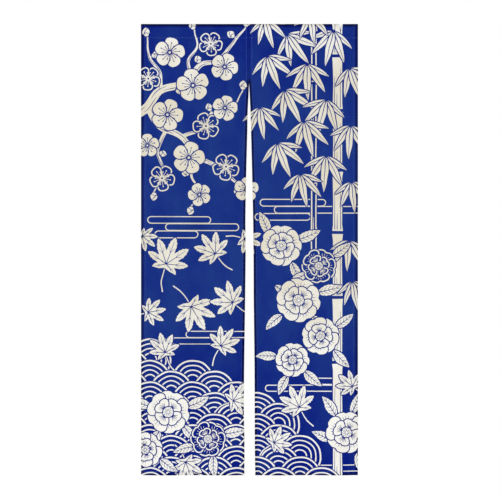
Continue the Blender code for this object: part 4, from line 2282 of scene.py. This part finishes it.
@dataclass(frozen=True)
class Studio:
    """A pale floor, a white surround, soft light and the camera square on to the curtain.

    Args:
        photo_px: The photograph's width and height.
        curtain_px: The curtain's left, right and top edge in it.
        lens_mm: The lens, long and so far off that the curtain's top and foot look straight.
        sensor_mm: The camera's sensor.
        floor_gap: From the curtain's foot to the floor.
        floor_corners: How many corners the round floor has.
        paint: The floor's finish.
        aim: Where the lights point.
        areas: Each light's name, place, size and power.
        surround_light: Strength of the surround's light on the cloth; the camera sees it at 1.
    """

    photo_px: float = 500.0
    curtain_px: tuple = (140.97, 357.98, 23.95)
    lens_mm: float = 250.0
    sensor_mm: float = 36.0
    floor_gap: float = 0.25
    floor_corners: int = 64
    paint: FloorPaint = FloorPaint()
    aim: tuple = (0, 0, -0.88)
    areas: tuple = (
        ("key", (-2.2, -3.6, 0.7), 2.6, 92),
        ("fill", (2.6, -3.4, -0.9), 3.0, 52),
        ("behind", (0.8, 3.8, 0.4), 3.0, 70),
    )
    surround_light: float = 0.62

    FARTHEST = 100.0

    def camera(self, hang: Hang) -> None:
        """Places the camera so that the curtain lies in the frame where the photograph has it.

        Args:
            hang: How the cloths hang.
        """
        left, right, top = self.curtain_px
        per_px = 2 * hang.half_width / (right - left)
        middle = self.photo_px / 2
        away = self.photo_px * per_px * self.lens_mm / self.sensor_mm
        data = bpy.data.cameras.new("camera")
        data.lens, data.sensor_width = self.lens_mm, self.sensor_mm
        data.clip_end = self.FARTHEST
        camera = placed("camera", data)
        camera.location = ((middle - (left + right) / 2) * per_px, -away, -(middle - top) * per_px)
        camera.rotation_euler = (math.radians(90), 0, 0)
        bpy.context.scene.camera = camera

    def floor(self, hang: Hang) -> None:
        """Lays a round floor below the curtain.

        Args:
            hang: How the cloths hang.
        """
        count, radius = self.floor_corners, self.paint.fade[1]
        mesh = bpy.data.meshes.new("floor")
        turn = np.linspace(0, 2 * np.pi, count, endpoint=False)
        rim = np.stack([np.cos(turn), np.sin(turn), np.zeros(count)], axis=1) * radius
        mesh.from_pydata(rim.tolist(), [], [list(range(count))])
        mesh.materials.append(self.paint.material())
        floor = placed("floor", mesh)
        floor.location.z = -hang.drop - self.floor_gap

    def lights(self) -> None:
        """Sets a large soft light at the upper left, a weaker one at the right and one behind."""
        for name, place, size, power in self.areas:
            data = bpy.data.lights.new(name, "AREA")
            data.size, data.energy = size, power
            light = placed(name, data)
            light.location = place
            light.visible_camera = False
            way = Vector(self.aim) - Vector(place)
            light.rotation_euler = way.to_track_quat("-Z", "Y").to_euler()

    def surround(self) -> None:
        """Makes a surround that is white to the camera and dimmer on the cloth."""
        world = bpy.data.worlds.new("white_surround")
        bpy.context.scene.world = world
        world.use_nodes = True
        tree = world.node_tree
        seen = add_node(tree, "LightPath").outputs["Is Camera Ray"]
        strength = add_node(tree, "MapRange", {"To Min": self.surround_light, "To Max": 1.0},
                            {"Value": seen})
        background = tree.nodes["Background"]
        background.inputs["Color"].default_value = (1, 1, 1, 1)
        tree.links.new(strength.outputs[0], background.inputs["Strength"])
        bpy.context.scene.view_settings.view_transform = "Standard"

    def build(self, hang: Hang) -> None:
        """Sets up the camera, the floor, the lights and the surround.

        Args:
            hang: How the cloths hang.
        """
        self.camera(hang)
        self.floor(hang)
        self.lights()
        self.surround()


def main() -> None:
    """Loads the frame, and builds the curtain and its studio."""
    logging.basicConfig(level=logging.INFO, format="%(name)s: %(message)s")
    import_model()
    noren = Noren()
    noren.build()
    Studio().build(noren.hang)


if __name__ == "__main__":
    main()
